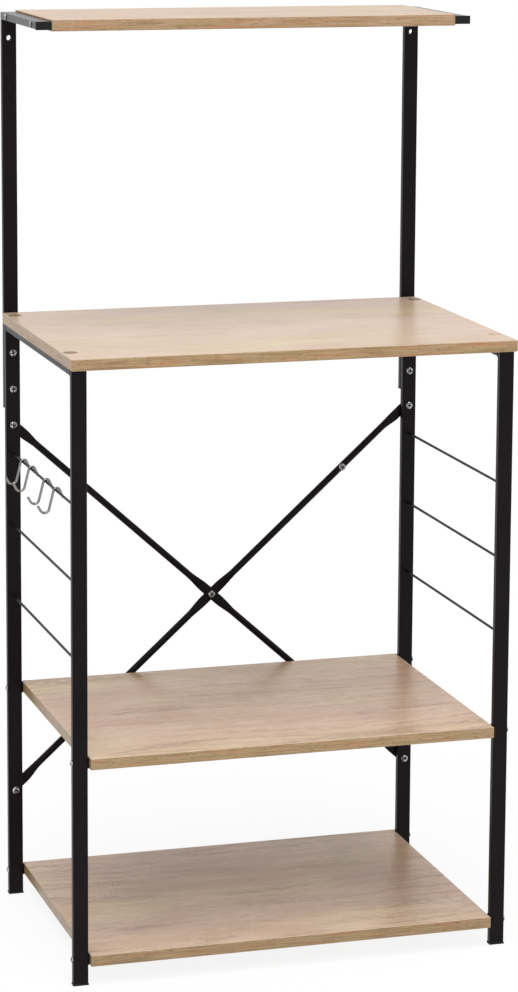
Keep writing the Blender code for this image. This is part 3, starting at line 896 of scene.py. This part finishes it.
class WireTree(ShapeTree):
    """Sweeps a round wire along the edges of a mesh, as thick as each point says."""

    def __init__(self) -> None:
        """Build the tree."""
        super().__init__("sweep_wire", {"Wire Radius": 0.001, "Sides": 16})
        path = self.add("GeometryNodeMeshToCurve", None, {"Mesh": self.given("Geometry")})
        swell = self.stored("swell", "FLOAT")
        path = self.add("GeometryNodeSetCurveRadius", None, {"Curve": path, "Radius": swell})
        ring = {"Resolution": self.given("Sides"), "Radius": self.given("Wire Radius")}
        profile = self.add("GeometryNodeCurvePrimitiveCircle", None, ring)
        sockets = {"Curve": path, "Profile Curve": profile, "Fill Caps": True}
        self.close(self.add("GeometryNodeCurveToMesh", None, sockets))

    def sweep(
        self, name: str, lines: Sequence[Sequence[Point]], swell: Sequence[float], **values: object
    ) -> bpy.types.Object:
        """Sweep the wire along lines of points.

        Args:
            name: Name of the finished piece.
            lines: Each line's points, in order.
            swell: Share of the thickness at each point of a line.
            values: The tree's inputs by name, with an underscore for each space.

        Returns:
            The piece.
        """
        points, edges = [], []
        for line in lines:
            edges += [(len(points) + step, len(points) + step + 1) for step in range(len(line) - 1)]
            points += line
        path = mesh_of(f"{name}_path", points, edges)
        write_attribute(path, "swell", list(swell) * len(lines))
        return self.bake(name, path, **values)


class PressedTubeTree(ShapeTree):
    """Round tube that is pressed flat at both ends and in its middle, along the X axis."""

    SIZES = {
        "Half Length": 0.4,
        "Tube Radius": 0.005,
        "Flat Thickness": 0.002,
        "End Flat": 0.02,
        "End Taper": 0.03,
        "Middle Flat": 0.01,
        "Middle Taper": 0.03,
        "Middle Shift": 0.001,
        "Stations": 241,
        "Sides": 33,
    }
    SEAM = 0.000004

    def __init__(self) -> None:
        """Build the tree."""
        super().__init__("pressed_tube", self.SIZES)
        half, radius, flat_size, end_flat, end_taper, middle_flat, middle_taper, offset, stations, sides = (
            self.given(label) for label in self.SIZES
        )
        sheet = {"Size X": 2.0, "Size Y": 1.0, "Vertices X": stations, "Vertices Y": sides}
        share, turn, _ = self.parts(self.add("GeometryNodeInputPosition"))
        thin = flat_size / 2
        wide = (radius * (2 * math.pi) - flat_size * (math.pi - 2)) / 4
        along = share * (half + wide)
        far = abs(along)
        middle = ((middle_flat + middle_taper - far) / middle_taper).step(0.0, 1.0)
        end = ((far - (half - end_flat - end_taper)) / end_taper).step(0.0, 1.0)
        flat = middle.at_least(end)
        past = ((far - half) / wide).at_least(0.0)
        tip = (1 - past * past).at_least(0.0) ** 0.5
        angle, power = turn * (2 * math.pi), 1 / (1 + flat)
        across = self.rounded(angle.cosine(), power) * (radius + (wide - radius) * flat) * tip
        depth = self.rounded(angle.sine(), power) * (radius + (thin - radius) * flat)
        depth = depth + offset * middle + (thin - radius) * end
        moved = {"Geometry": self.add("GeometryNodeMeshGrid", None, sheet)}
        moved["Position"] = self.vector(along, depth, across)
        merged = {"Geometry": self.add("GeometryNodeSetPosition", None, moved), "Distance": self.SEAM}
        self.close(self.add("GeometryNodeMergeByDistance", None, merged))

    @staticmethod
    def rounded(value: Socket, power: Socket) -> Socket:
        """Raise a value's size to a power and keep its sign."""
        return value.sign() * abs(value) ** power


def mesh_of(name: str, points: Sequence[Point], edges: Sequence[tuple[int, int]] = ()) -> bpy.types.Mesh:
    """Make a mesh of loose points and edges.

    Args:
        name: Name of the mesh.
        points: Places of its vertices.
        edges: Pairs of vertex numbers.

    Returns:
        The mesh.
    """
    mesh = bpy.data.meshes.new(name)
    mesh.from_pydata([tuple(point) for point in points], list(edges), [])
    return mesh


def write_attribute(mesh: bpy.types.Mesh, name: str, values: Sequence[float] | Sequence[Point]) -> None:
    """Store one value for each vertex.

    Args:
        mesh: Mesh to store them on.
        name: Name of the attribute.
        values: Numbers or vectors, in the vertices' order.
    """
    if isinstance(values[0], (int, float)):
        mesh.attributes.new(name, "FLOAT", "POINT").data.foreach_set("value", list(values))
    else:
        flat = [number for vector in values for number in vector]
        mesh.attributes.new(name, "FLOAT_VECTOR", "POINT").data.foreach_set("vector", flat)


def box_of(node: str) -> tuple[Vector, Vector, Vector]:
    """Read the low corner, the high corner and the centre of a node's box from the frame."""
    low, high = (Vector(corner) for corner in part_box(node))
    return low, high, (low + high) / 2


def middles(count: int) -> list[float]:
    """Give the middles of so many equal steps from 0 to 1."""
    return [(step + 0.5) / count for step in range(count)]


def circle(count: int) -> Iterator[tuple[float, float]]:
    """Go round a circle of radius 1.

    Args:
        count: Number of equal turns.

    Yields:
        X and Y at each turn.
    """
    for step in range(count):
        turn = 2 * math.pi * step / count
        yield math.cos(turn), math.sin(turn)


def turned_faces(rings: int, sides: int) -> Iterator[tuple[int, ...]]:
    """Give the faces of a turned form: those between its rings, and the fans that close both ends.

    Args:
        rings: Number of rings, between a first and a last point on the axis.
        sides: Number of points on a ring.

    Yields:
        Vertex numbers of one face, ordered so that it points outwards.
    """
    last = 1 + rings * sides
    for side in range(sides):
        after = (side + 1) % sides
        yield 0, 1 + side, 1 + after
        yield last, last - sides + after, last - sides + side
        for ring in range(rings - 1):
            low, high = 1 + ring * sides, 1 + (ring + 1) * sides
            yield low + side, high + side, high + after, low + after


class Recess(Enum):
    """Hollow in a fastener's head for the tool that turns it."""

    CROSS = "cross"
    NONE = "none"


@dataclass(frozen=True)
class FastenerSizes:
    """Sizes of one kind of fastener: its turned head, the recess in it and its threaded shank."""

    head_radius: float
    head_height: float
    rim: float
    recess: Recess
    recess_reach: float
    recess_depth: float
    shank_radius: float
    pitch: float
    thread_length: float
    pointed: bool


@dataclass(frozen=True)
class FastenerForm:
    """Turned head with a recess, over a shank with a threaded end. Its seat is at Z zero."""

    sizes: FastenerSizes
    shank_length: float
    sides: int = 48
    fine_rings: int = 14
    dome_rings: int = 8
    rings_per_turn: int = 6
    fine_share: float = 1.3
    plain_share: float = 0.3
    arris_share: float = 0.12
    cross_arm_share: float = 0.26
    cross_wall_share: float = 0.14
    thread_share: float = 0.3
    point_turns: int = 3
    runout_rings: int = 3
    point_share: float = 0.25
    blunt_share: float = 0.8

    def recessed(self, x: float, y: float) -> float:
        """Tell how much of the recess's depth a place on the head has.

        Args:
            x: Place across the head.
            y: Place across the head, square to x.

        Returns:
            0 outside the recess, up to 1 inside.
        """
        if self.sizes.recess is Recess.NONE:
            return 0.0
        reach = self.sizes.recess_reach
        low, high = sorted((abs(x), abs(y)))
        inside = min(self.cross_arm_share * reach - low, reach - high)
        return min(max(inside / (self.cross_wall_share * reach), 0.0), 1.0)

    def head_rings(self) -> Iterator[tuple[float, float]]:
        """Shape the head from its top to the seat.

        Yields:
            Radius and height of one ring.
        """
        sizes = self.sizes
        crown = sizes.head_height - sizes.rim
        fine = self.plain_share * sizes.head_radius
        if sizes.recess is Recess.CROSS:
            fine = self.fine_share * sizes.recess_reach
        for step in range(1, self.fine_rings + 1):
            radius = fine * step / self.fine_rings
            yield radius, sizes.rim + crown * math.sqrt(1 - (radius / sizes.head_radius) ** 2)
        start = math.asin(fine / sizes.head_radius)
        for step in range(1, self.dome_rings + 1):
            turn = start + (math.pi / 2 - start) * step / self.dome_rings
            yield sizes.head_radius * math.sin(turn), sizes.rim + crown * math.cos(turn)
        arris = self.arris_share * sizes.rim
        yield sizes.head_radius, arris
        yield sizes.head_radius - arris, 0.0
        yield sizes.shank_radius, 0.0

    def shank_rings(self) -> Iterator[tuple[float, float, float]]:
        """Shape the shank down to its end.

        Yields:
            Radius, height and thread depth of one ring.
        """
        sizes = self.sizes
        start = sizes.thread_length - self.shank_length
        count = max(int(sizes.thread_length / sizes.pitch * self.rings_per_turn), 1)
        tip, least = sizes.pitch, self.blunt_share
        if sizes.pointed:
            tip, least = self.point_turns * sizes.pitch, self.point_share
        for step in range(count + 1):
            height = start - sizes.thread_length * step / count
            taper = min((self.shank_length + height) / tip, 1)
            depth = self.thread_share * sizes.pitch * min(step / self.runout_rings, 1) * taper
            yield sizes.shank_radius * (least + (1 - least) * taper), height, depth

    def mesh(self, name: str) -> bpy.types.Mesh:
        """Build the form.

        Args:
            name: Name of the mesh.

        Returns:
            A closed mesh that stores each point's distance from the axis and its depth in the recess.
        """
        sizes = self.sizes
        hollow = [self.recessed(0.0, 0.0)]
        points = [(0.0, 0.0, sizes.head_height - sizes.recess_depth * hollow[0])]
        rings = [(radius, height, None) for radius, height in self.head_rings()] + list(self.shank_rings())
        for radius, height, depth in rings:
            for side, (x, y) in enumerate(circle(self.sides)):
                if depth is None:
                    hollow.append(self.recessed(x * radius, y * radius))
                    points.append((x * radius, y * radius, height - hollow[-1] * sizes.recess_depth))
                else:
                    phase = (height / sizes.pitch + side / self.sides) % 1
                    thread = radius - depth * abs(2 * phase - 1)
                    hollow.append(0.0)
                    points.append((x * thread, y * thread, height))
        points.append((0.0, 0.0, -self.shank_length))
        hollow.append(0.0)
        mesh = bpy.data.meshes.new(name)
        mesh.from_pydata(points, [], list(turned_faces(len(rings), self.sides)))
        write_attribute(mesh, "ring", [math.hypot(x, y) for x, y, _ in points])
        write_attribute(mesh, "hollow", hollow)
        return mesh


@dataclass(frozen=True)
class FastenerRow:
    """Fasteners of one kind that face one way."""

    name: str
    nodes: tuple[str, ...]
    facing: Point
    sizes: FastenerSizes
    slot: str

    def seats(self) -> tuple[list[Vector], float]:
        """Read from the frame where each fastener sits.

        Returns:
            The seats' places, and the length from the seat to the shank's end.
        """
        facing = Vector(self.facing)
        places = []
        for node in self.nodes:
            low, high, centre = box_of(node)
            reach = abs(((high - low) / 2).dot(facing))
            places.append(centre + facing * (reach - self.sizes.head_height))
        return places, 2 * reach - self.sizes.head_height

    def build(self, tree: RepeatTree, material: bpy.types.Material, seed: int) -> None:
        """Make the row as one piece.

        Args:
            tree: Tree that repeats a form.
            material: The fasteners' finish.
            seed: Seed of their turns.
        """
        places, shank_length = self.seats()
        form = FastenerForm(self.sizes, shank_length).mesh(f"{self.name}_form")
        facings = [self.facing] * len(places)
        piece = tree.scatter(self.name, form, places, facings, Material=material, Seed=seed)
        finish_piece(piece, "root", self.nodes)


@dataclass(frozen=True)
class Fastenings:
    """Every bolt and screw of the stand."""

    repeat: RepeatTree
    zinc: bpy.types.Material
    cover: bpy.types.Material
    pale_cover: bpy.types.Material
    bolt: FastenerSizes = FastenerSizes(
        head_radius=0.005, head_height=0.003, rim=0.0009, recess=Recess.CROSS, recess_reach=0.0031,
        recess_depth=0.0016, shank_radius=0.00295, pitch=0.001, thread_length=0.006, pointed=False,
    )
    screw: FastenerSizes = FastenerSizes(
        head_radius=0.0044, head_height=0.0022, rim=0.0006, recess=Recess.CROSS, recess_reach=0.0026,
        recess_depth=0.0012, shank_radius=0.0021, pitch=0.0014, thread_length=0.012, pointed=True,
    )
    cap: FastenerSizes = FastenerSizes(
        head_radius=0.009, head_height=0.0013, rim=0.0004, recess=Recess.NONE, recess_reach=0.0,
        recess_depth=0.0, shank_radius=0.0017, pitch=0.0012, thread_length=0.008, pointed=True,
    )

    def rows(self) -> Iterator[FastenerRow]:
        """Sort the bolts and screws into rows.

        Yields:
            One row.
        """
        front = (0.0, -1.0, 0.0)
        levels = ("upper", "lower")
        bolts = {
            "upright_bolts": tuple(f"upright_bolt_{side}_{index}" for side in SIDES for index in (1, 2)),
            "brace_end_bolts": tuple(f"brace_bolt_{level}_{side}" for level in levels for side in SIDES),
            "brace_cross_bolt": ("cross_bolt",),
            "brace_side_bolt": ("brace_tube_bolt",),
        }
        for name, nodes in bolts.items():
            yield FastenerRow(name, nodes, front, self.bolt, "bright_steel")
        for side, sign in SIDES.items():
            outward = (float(sign), 0.0, 0.0)
            for level in ("bottom", "middle", "top"):
                name = f"{level}_shelf_screws_{side}"
                nodes = tuple(f"{level}_shelf_screw_{row}_{side}" for row in ROWS)
                yield FastenerRow(name, nodes, outward, self.screw, "bright_steel")

    def cover_rows(self) -> Iterator[tuple[FastenerRow, bpy.types.Material]]:
        """Sort the tabletop's cover heads: one is as pale as the board, and the others are darker.

        Yields:
            One row and its finish.
        """
        up = (0.0, 0.0, 1.0)
        nodes = [f"tabletop_screw_{row}_{side}" for row in ROWS for side in SIDES]
        pale = "tabletop_screw_front_right"
        dark = tuple(node for node in nodes if node != pale)
        yield FastenerRow("tabletop_covers", dark, up, self.cap, "cover_plastic"), self.cover
        yield FastenerRow("tabletop_cover_pale", (pale,), up, self.cap, "cover_plastic"), self.pale_cover

    def build(self) -> None:
        """Make every row."""
        rows = [(row, self.zinc) for row in self.rows()]
        for seed, (row, finish) in enumerate([*rows, *self.cover_rows()], start=1):
            row.build(self.repeat, finish, seed)


@dataclass
class SideFrames:
    """Legs, rails and rods welded to a frame on each side."""

    repeat: RepeatTree
    wire: WireTree
    coat: bpy.types.Material
    plastic: bpy.types.Material
    rod_radius: float = 0.00175
    rod_steps: int = 8
    rod_sides: int = 24
    bead_radius: float = 0.0007
    bead_height_share: float = 0.55
    bead_root_share: float = 0.4
    bead_rings: int = 3
    bead_sides: int = 8
    bead_spread: float = 0.22
    bead_seed: int = 5
    beads_up_rail: int = 9
    beads_across_rail: int = 20
    beads_round_rod: int = 12
    beads_along_tab: int = 8
    rail_drop: float = 0.0006
    rail_inset: float = 0.0002
    tab_reach: float = 0.002
    tab_height: float = 0.0145
    tab_half_depth: float = 0.0039
    tab_facing: tuple[float, float] = (-0.6, 0.8)

    def dress(self) -> None:
        """Give the welded tubes and the caps their finishes."""
        for side in SIDES:
            for row in ROWS:
                dress_node(f"leg_{row}_{side}", self.coat)
                dress_node(f"foot_cap_{row}_{side}", self.plastic)
            dress_node(f"top_rail_{side}", self.coat)

    @staticmethod
    def rod_nodes(side: str) -> list[str]:
        """Name the rods of one side."""
        return [f"side_rod_{side}_{index}" for index in (1, 2, 3)]

    def rods(self) -> None:
        """Make the thin rods of each side as one piece."""
        shares = [step / self.rod_steps for step in range(self.rod_steps + 1)]
        for side in SIDES:
            lines = []
            for low, high, centre in map(box_of, self.rod_nodes(side)):
                lines.append([(centre.x, low.y + (high.y - low.y) * share, centre.z) for share in shares])
            values = {"Material": self.coat, "Wire_Radius": self.rod_radius, "Sides": self.rod_sides}
            piece = self.wire.sweep(f"side_rods_{side}", lines, [1.0] * len(shares), **values)
            finish_piece(piece, "root", self.rod_nodes(side))

    def rail_beads(self, side: str) -> Iterator[tuple[Point, Point]]:
        """Give the beads round both ends of one side's rail.

        Args:
            side: Left or right.

        Yields:
            One bead's place and the way that it faces.
        """
        low, high, centre = box_of(f"top_rail_{side}")
        for y in (low.y, high.y):
            for share in middles(self.beads_up_rail):
                height = low.z + (high.z - low.z) * share - self.rail_drop
                for x in (low.x + self.rail_inset, high.x - self.rail_inset):
                    yield (x, y, height), (x - centre.x, 0.0, 0.0)
            for share in middles(self.beads_across_rail):
                yield (low.x + (high.x - low.x) * share, y, low.z), (0.0, 0.0, -1.0)

    def rod_beads(self, side: str) -> Iterator[tuple[Point, Point]]:
        """Give the beads round both ends of each of one side's rods.

        Args:
            side: Left or right.

        Yields:
            One bead's place and the way that it faces.
        """
        for low, high, centre in map(box_of, self.rod_nodes(side)):
            for y in (low.y, high.y):
                for x, z in circle(self.beads_round_rod):
                    yield (centre.x + x * self.rod_radius, y, centre.z + z * self.rod_radius), (x, 0.0, z)

    def tab_beads(self, side: str) -> Iterator[tuple[Point, Point]]:
        """Give the beads above and below each shelf tab of one side.

        Args:
            side: Left or right.

        Yields:
            One bead's place and the way that it faces.
        """
        sign = SIDES[side]
        aside, upward = self.tab_facing
        for row in ROWS:
            leg = box_of(f"leg_{row}_{side}")[2]
            for shelf in ("bottom", "middle"):
                _, high, centre = box_of(f"shelf_{shelf}")
                x = sign * (high.x + self.tab_reach)
                for up in (-1, 1):
                    z = centre.z + up * self.tab_height / 2
                    for share in middles(self.beads_along_tab):
                        y = leg.y + self.tab_half_depth * (2 * share - 1)
                        yield (x, y, z), (sign * aside, 0.0, up * upward)

    def bead_form(self) -> bpy.types.Mesh:
        """Build the form of one bead.

        Returns:
            A low dome over a short root.
        """
        points = [(0.0, 0.0, self.bead_height_share)]
        for ring in range(1, self.bead_rings + 1):
            turn = math.pi / 2 * ring / self.bead_rings
            wide, height = math.sin(turn), self.bead_height_share * math.cos(turn)
            points += [(wide * x, wide * y, height) for x, y in circle(self.bead_sides)]
        points.append((0.0, 0.0, -self.bead_root_share))
        mesh = bpy.data.meshes.new("bead_form")
        sized = [tuple(self.bead_radius * number for number in point) for point in points]
        mesh.from_pydata(sized, [], list(turned_faces(self.bead_rings, self.bead_sides)))
        return mesh

    def beads(self) -> None:
        """Make the weld beads as one piece."""
        kinds = (self.rail_beads, self.rod_beads, self.tab_beads)
        places, facings = zip(*(bead for side in SIDES for kind in kinds for bead in kind(side)))
        values = {"Material": self.coat, "Size_Spread": self.bead_spread, "Seed": self.bead_seed}
        piece = self.repeat.scatter("weld_beads", self.bead_form(), places, facings, **values)
        finish_piece(piece, "root")

    def build(self) -> None:
        """Dress the tubes and make the rods and the welds."""
        self.dress()
        self.rods()
        self.beads()


@dataclass
class UpperFrame:
    """Uprights behind the rear legs, with the arms that carry the top shelf."""

    coat: bpy.types.Material
    arm_coat: bpy.types.Material
    plastic: bpy.types.Material

    def build(self) -> None:
        """Give the tubes and their caps their finishes."""
        for side in SIDES:
            dress_node(f"upright_{side}", self.coat)
            dress_node(f"arm_{side}", self.arm_coat)
            dress_node(f"arm_cap_{side}", self.plastic)
            dress_node(f"upright_plug_{side}", self.plastic)


@dataclass(frozen=True)
class Boards:
    """Tabletop and three shelves of foil-covered board."""

    looks: tuple[BoardLook, ...] = (
        # The tints are partly each board's own tone and partly painted light: the lower boards are darker as
        # painted shade, the upper ones paler as painted reflection.
        BoardLook("tabletop", 0.4, (1.065, 1.120, 1.190), (0.93, 0.89, 0.82), 0.5, 0.12, specular=0.38),
        BoardLook("shelf_middle", 1.9, (1.055, 1.035, 1.000), (0.88, 0.86, 0.80)),
        BoardLook("shelf_bottom", 3.3, (0.955, 0.965, 0.975), (0.78, 0.76, 0.71)),
        BoardLook("shelf_top", 5.2, (1.020, 1.120, 1.190), (1.00, 0.96, 0.95), 0.5, 0.12, gloss=0.48),
    )

    def build(self) -> None:
        """Give each board its finish, with its own stretch of the foil's pattern."""
        for look in self.looks:
            low, high, _ = box_of(look.node)
            foil = OakFoil(high.z, high.z - low.z, look)
            dress_node(look.node, foil.material(f"oak_foil_{look.node}"))


@dataclass
class RearBrace:
    """Two crossed tubes behind the rear legs, flattened where a bolt passes."""

    coat: bpy.types.Material
    radius: float = 0.00475
    thickness: float = 0.002
    gap: float = 0.0003
    end_flat: float = 0.022
    end_taper: float = 0.026
    middle_flat: float = 0.014
    middle_taper: float = 0.030

    def build(self) -> None:
        """Make both tubes."""
        tree = PressedTubeTree()
        upper, lower = (box_of(f"brace_bolt_{level}_right")[2] for level in ("upper", "lower"))
        rise = (upper.z - lower.z) / 2
        centre = Vector((0, box_of("upright_right")[2].y, (upper.z + lower.z) / 2))
        for name, side in (("rising", 1), ("falling", -1)):
            piece = tree.bake(
                f"brace_tube_{name}",
                bpy.data.meshes.new("empty"),
                Material=self.coat,
                Half_Length=math.hypot(upper.x, rise),
                Tube_Radius=self.radius,
                Flat_Thickness=self.thickness,
                End_Flat=self.end_flat,
                End_Taper=self.end_taper,
                Middle_Flat=self.middle_flat,
                Middle_Taper=self.middle_taper,
                Middle_Shift=side * (self.thickness + self.gap) / 2,
            )
            turn = Matrix.Rotation(-side * math.atan2(rise, upper.x), 4, "Y")
            piece.data.transform(Matrix.Translation(centre) @ turn)
            finish_piece(piece, "root", [f"brace_{name}"])


@dataclass
class SideHooks:
    """S-hooks of bent wire on the top rod of the left side."""

    wire: WireTree
    chrome: bpy.types.Material
    nodes: tuple[str, ...] = ("hook_1", "hook_2", "hook_3", "hook_4")
    wire_radius: float = 0.0017
    wire_sides: int = 20
    rod_radius: float = 0.00175
    gap: float = 0.0003
    top_bend: float = 0.0044
    low_bend: float = 0.0062
    stem: float = 0.025
    top_leg: float = 0.0115
    low_leg: float = 0.0075
    lean: float = math.radians(14)
    top_splay: float = math.radians(24)
    low_splay: float = math.radians(30)
    steps: int = 28
    end_steps: int = 6
    end_share: float = 0.7
    end_start: float = 0.35

    def bend(self, centre: Vector, radius: float, start: float, stop: float) -> list[Vector]:
        """Give the points of a bend.

        Args:
            centre: Its centre.
            radius: Its radius.
            start: First angle, from +X towards +Z.
            stop: Last angle.

        Returns:
            The points in order.
        """
        turns = (start + (stop - start) * step / self.steps for step in range(self.steps + 1))
        return [centre + radius * Vector((math.cos(turn), 0, math.sin(turn))) for turn in turns]

    def path(self) -> tuple[list[Vector], list[float]]:
        """Bend the wire about the rod's axis.

        Returns:
            The centre line, and the share of the thickness at each point.
        """
        seat = self.top_bend - self.wire_radius - self.rod_radius - self.gap
        top_centre = Vector((0, 0, -seat))
        upward = Vector((math.sin(self.lean), 0, math.cos(self.lean)))
        across = Vector((-math.cos(self.lean), 0, math.sin(self.lean)))
        low_centre = top_centre + across * (self.top_bend + self.low_bend) - upward * self.stem
        top = self.bend(top_centre, self.top_bend, self.top_splay, math.pi - self.lean)
        low = self.bend(low_centre, self.low_bend, -self.lean, self.low_splay - math.pi)
        top_leg = Vector((math.sin(self.top_splay), 0, -math.cos(self.top_splay))) * self.top_leg
        low_leg = Vector((-math.sin(self.low_splay), 0, math.cos(self.low_splay))) * self.low_leg
        return self.round_ends([top[0] + top_leg, *top, *low, low[-1] + low_leg])

    def round_ends(self, line: list[Vector]) -> tuple[list[Vector], list[float]]:
        """Round both ends of the wire.

        Args:
            line: Centre line, whose two end runs are straight.

        Returns:
            The line with close points at its ends, and the share of the thickness at each point.
        """
        turns = (math.pi / 2 * (step + self.end_start) / self.end_steps for step in range(self.end_steps))
        shares = [math.sin(turn) for turn in turns]
        insets = [self.end_share * self.wire_radius * (1 - share) for share in reversed(shares)]
        first, last = line[1] - line[0], line[-2] - line[-1]
        head = [line[0] + first.normalized() * inset for inset in insets]
        tail = [line[-1] + last.normalized() * inset for inset in reversed(insets)]
        return head + line[1:-1] + tail, shares + [1.0] * (len(line) - 2) + shares[::-1]

    def build(self) -> None:
        """Make one mesh for each hook."""
        line, swell = self.path()
        values = {"Material": self.chrome, "Wire_Radius": self.wire_radius, "Sides": self.wire_sides}
        origins = {joint["child"]: Vector(joint["pos_m"]) for joint in frame["joints"]}
        for node in self.nodes:
            points = [origins[node] + point for point in line]
            piece = self.wire.sweep(f"s_{node}", [points], swell, **values)
            finish_piece(piece, node, [node])


def dress_node(node: str, material: bpy.types.Material) -> None:
    """Give a node of the frame its finish.

    Args:
        node: Name of the node.
        material: Its finish.
    """
    for slot in frame["nodes"][node].material_slots:
        slot.material = material


def finish_piece(piece: bpy.types.Object, body: str, nodes: Sequence[str] = ()) -> None:
    """Join a piece to its body.

    Args:
        piece: The finished piece.
        body: Body that it moves with.
        nodes: Nodes that it stands for.
    """
    if nodes:
        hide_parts(*nodes)
    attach(piece, body)
    log.info("%s: %d faces", piece.name, len(piece.data.polygons))


@dataclass(frozen=True)
class SoftLamp:
    """Far, soft lamp: the way its light comes from, its strength and how wide it looks."""

    name: str
    place: Point
    strength: float
    width: float

    def hang(self) -> None:
        """Add the lamp to the scene."""
        data = bpy.data.lights.new(self.name, "SUN")
        data.energy = self.strength
        data.angle = self.width
        lamp = bpy.data.objects.new(self.name, data)
        lamp.location = self.place
        lamp.rotation_euler = (-Vector(self.place)).to_track_quat("-Z", "Y").to_euler()
        bpy.context.scene.collection.objects.link(lamp)


@dataclass(frozen=True)
class Studio:
    """White floor, soft light and the camera."""

    floor_half: float = 60.0
    floor_white: float = 0.96
    floor_glow: float = 0.88
    room_light: float = 0.38
    lamps: tuple[SoftLamp, ...] = (
        SoftLamp("key_lamp", (-0.7, -2.0, 4.5), 2.00, math.radians(50)),
        SoftLamp("top_lamp", (0.3, -0.1, 5.0), 0.60, math.radians(50)),
    )
    lens: float = 119.828
    camera_place: Point = (-1.261540, -4.185255, 1.521726)
    yaw: float = math.radians(16.876)
    pitch: float = math.radians(9.401)
    roll: float = math.radians(0.331)
    shift: float = -0.1502

    def floor(self) -> None:
        """Lay a white floor that keeps the object's shadow."""
        half = self.floor_half
        mesh = bpy.data.meshes.new("studio_floor")
        corners = [(-half, -half, 0), (half, -half, 0), (half, half, 0), (-half, half, 0)]
        mesh.from_pydata(corners, [], [(0, 1, 2, 3)])
        floor = bpy.data.objects.new("studio_floor", mesh)
        bpy.context.scene.collection.objects.link(floor)
        surface = Surface("studio_floor")
        surface.tree.nodes.remove(surface.shader)
        paint = surface.add("ShaderNodeBsdfDiffuse", None, {"Color": (*(self.floor_white,) * 3, 1)})
        glow = surface.add("ShaderNodeEmission", None, {"Color": (1, 1, 1, 1), "Strength": 1.0})
        seen = self.seen_directly(surface)
        mixed = surface.add("ShaderNodeMixShader", None, {0: seen * self.floor_glow, 1: paint, 2: glow})
        end = surface.tree.nodes["Material Output"]
        surface.tree.links.new(mixed.output, end.inputs["Surface"])
        mesh.materials.append(surface.material)

    @staticmethod
    def seen_directly(graph: Graph) -> Socket:
        """Tell camera, mirror and glass rays from those that only light.

        Args:
            graph: Tree that reads it.

        Returns:
            1 where the ray comes from the camera, straight or by way of a surface, and 0 elsewhere.
        """
        camera = graph.add("ShaderNodeLightPath", output="Is Camera Ray")
        glossy = graph.add("ShaderNodeLightPath", output="Is Glossy Ray")
        through = graph.add("ShaderNodeLightPath", output="Is Transmission Ray")
        return (camera + glossy + through).step(0.0, 1.0)

    def room(self) -> None:
        """Set the white surroundings."""
        world = bpy.data.worlds.new("studio_room")
        bpy.context.scene.world = world
        world.use_nodes = True
        graph = Graph(world.node_tree)
        background = world.node_tree.nodes["Background"]
        background.inputs["Color"].default_value = (1, 1, 1, 1)
        strength = self.room_light + self.seen_directly(graph) * (1 - self.room_light)
        graph.tree.links.new(strength.output, background.inputs["Strength"])

    def camera(self) -> None:
        """Set the camera at the photograph's viewing angle."""
        level = Vector((math.cos(self.yaw), -math.sin(self.yaw), 0))
        ahead = Vector((math.sin(self.yaw), math.cos(self.yaw), 0))
        forward = ahead * math.cos(self.pitch) - Vector((0, 0, math.sin(self.pitch)))
        up = level.cross(forward)
        right = level * math.cos(self.roll) + up * math.sin(self.roll)
        top = up * math.cos(self.roll) - level * math.sin(self.roll)
        data = bpy.data.cameras.new("photo_camera")
        data.lens = self.lens
        data.shift_y = self.shift
        camera = bpy.data.objects.new("photo_camera", data)
        turn = Matrix((right, top, -forward)).transposed().to_4x4()
        camera.matrix_world = Matrix.Translation(self.camera_place) @ turn
        bpy.context.scene.collection.objects.link(camera)
        bpy.context.scene.camera = camera

    def build(self) -> None:
        """Make the floor, the light and the camera."""
        bpy.context.scene.view_settings.view_transform = "Standard"
        self.floor()
        self.room()
        for lamp in self.lamps:
            lamp.hang()
        self.camera()


def main() -> None:
    """Dress the stand and set the studio."""
    logging.basicConfig(level=logging.INFO, format="%(message)s")
    coat = PowderCoat().material("black_powder_coat")
    arm_coat = PowderCoat(gloss=0.27, sheen_level=0.18).material("arm_powder_coat")
    plastic = MouldedPlastic().material("black_cap_plastic")
    zinc = ZincPlate().material("bright_zinc")
    cover = CoverPrint().material("cover_print")
    pale = CoverPrint(light=(0.600, 0.440, 0.325), dark=(0.510, 0.360, 0.255))
    pale_cover = pale.material("pale_cover_print")
    chrome = ChromeWire().material("polished_wire")
    repeat, wire = RepeatTree(), WireTree()
    SideFrames(repeat, wire, coat, plastic).build()
    UpperFrame(coat, arm_coat, plastic).build()
    Boards().build()
    RearBrace(coat).build()
    Fastenings(repeat, zinc, cover, pale_cover).build()
    SideHooks(wire, chrome).build()
    Studio().build()


if __name__ == "__main__":
    main()
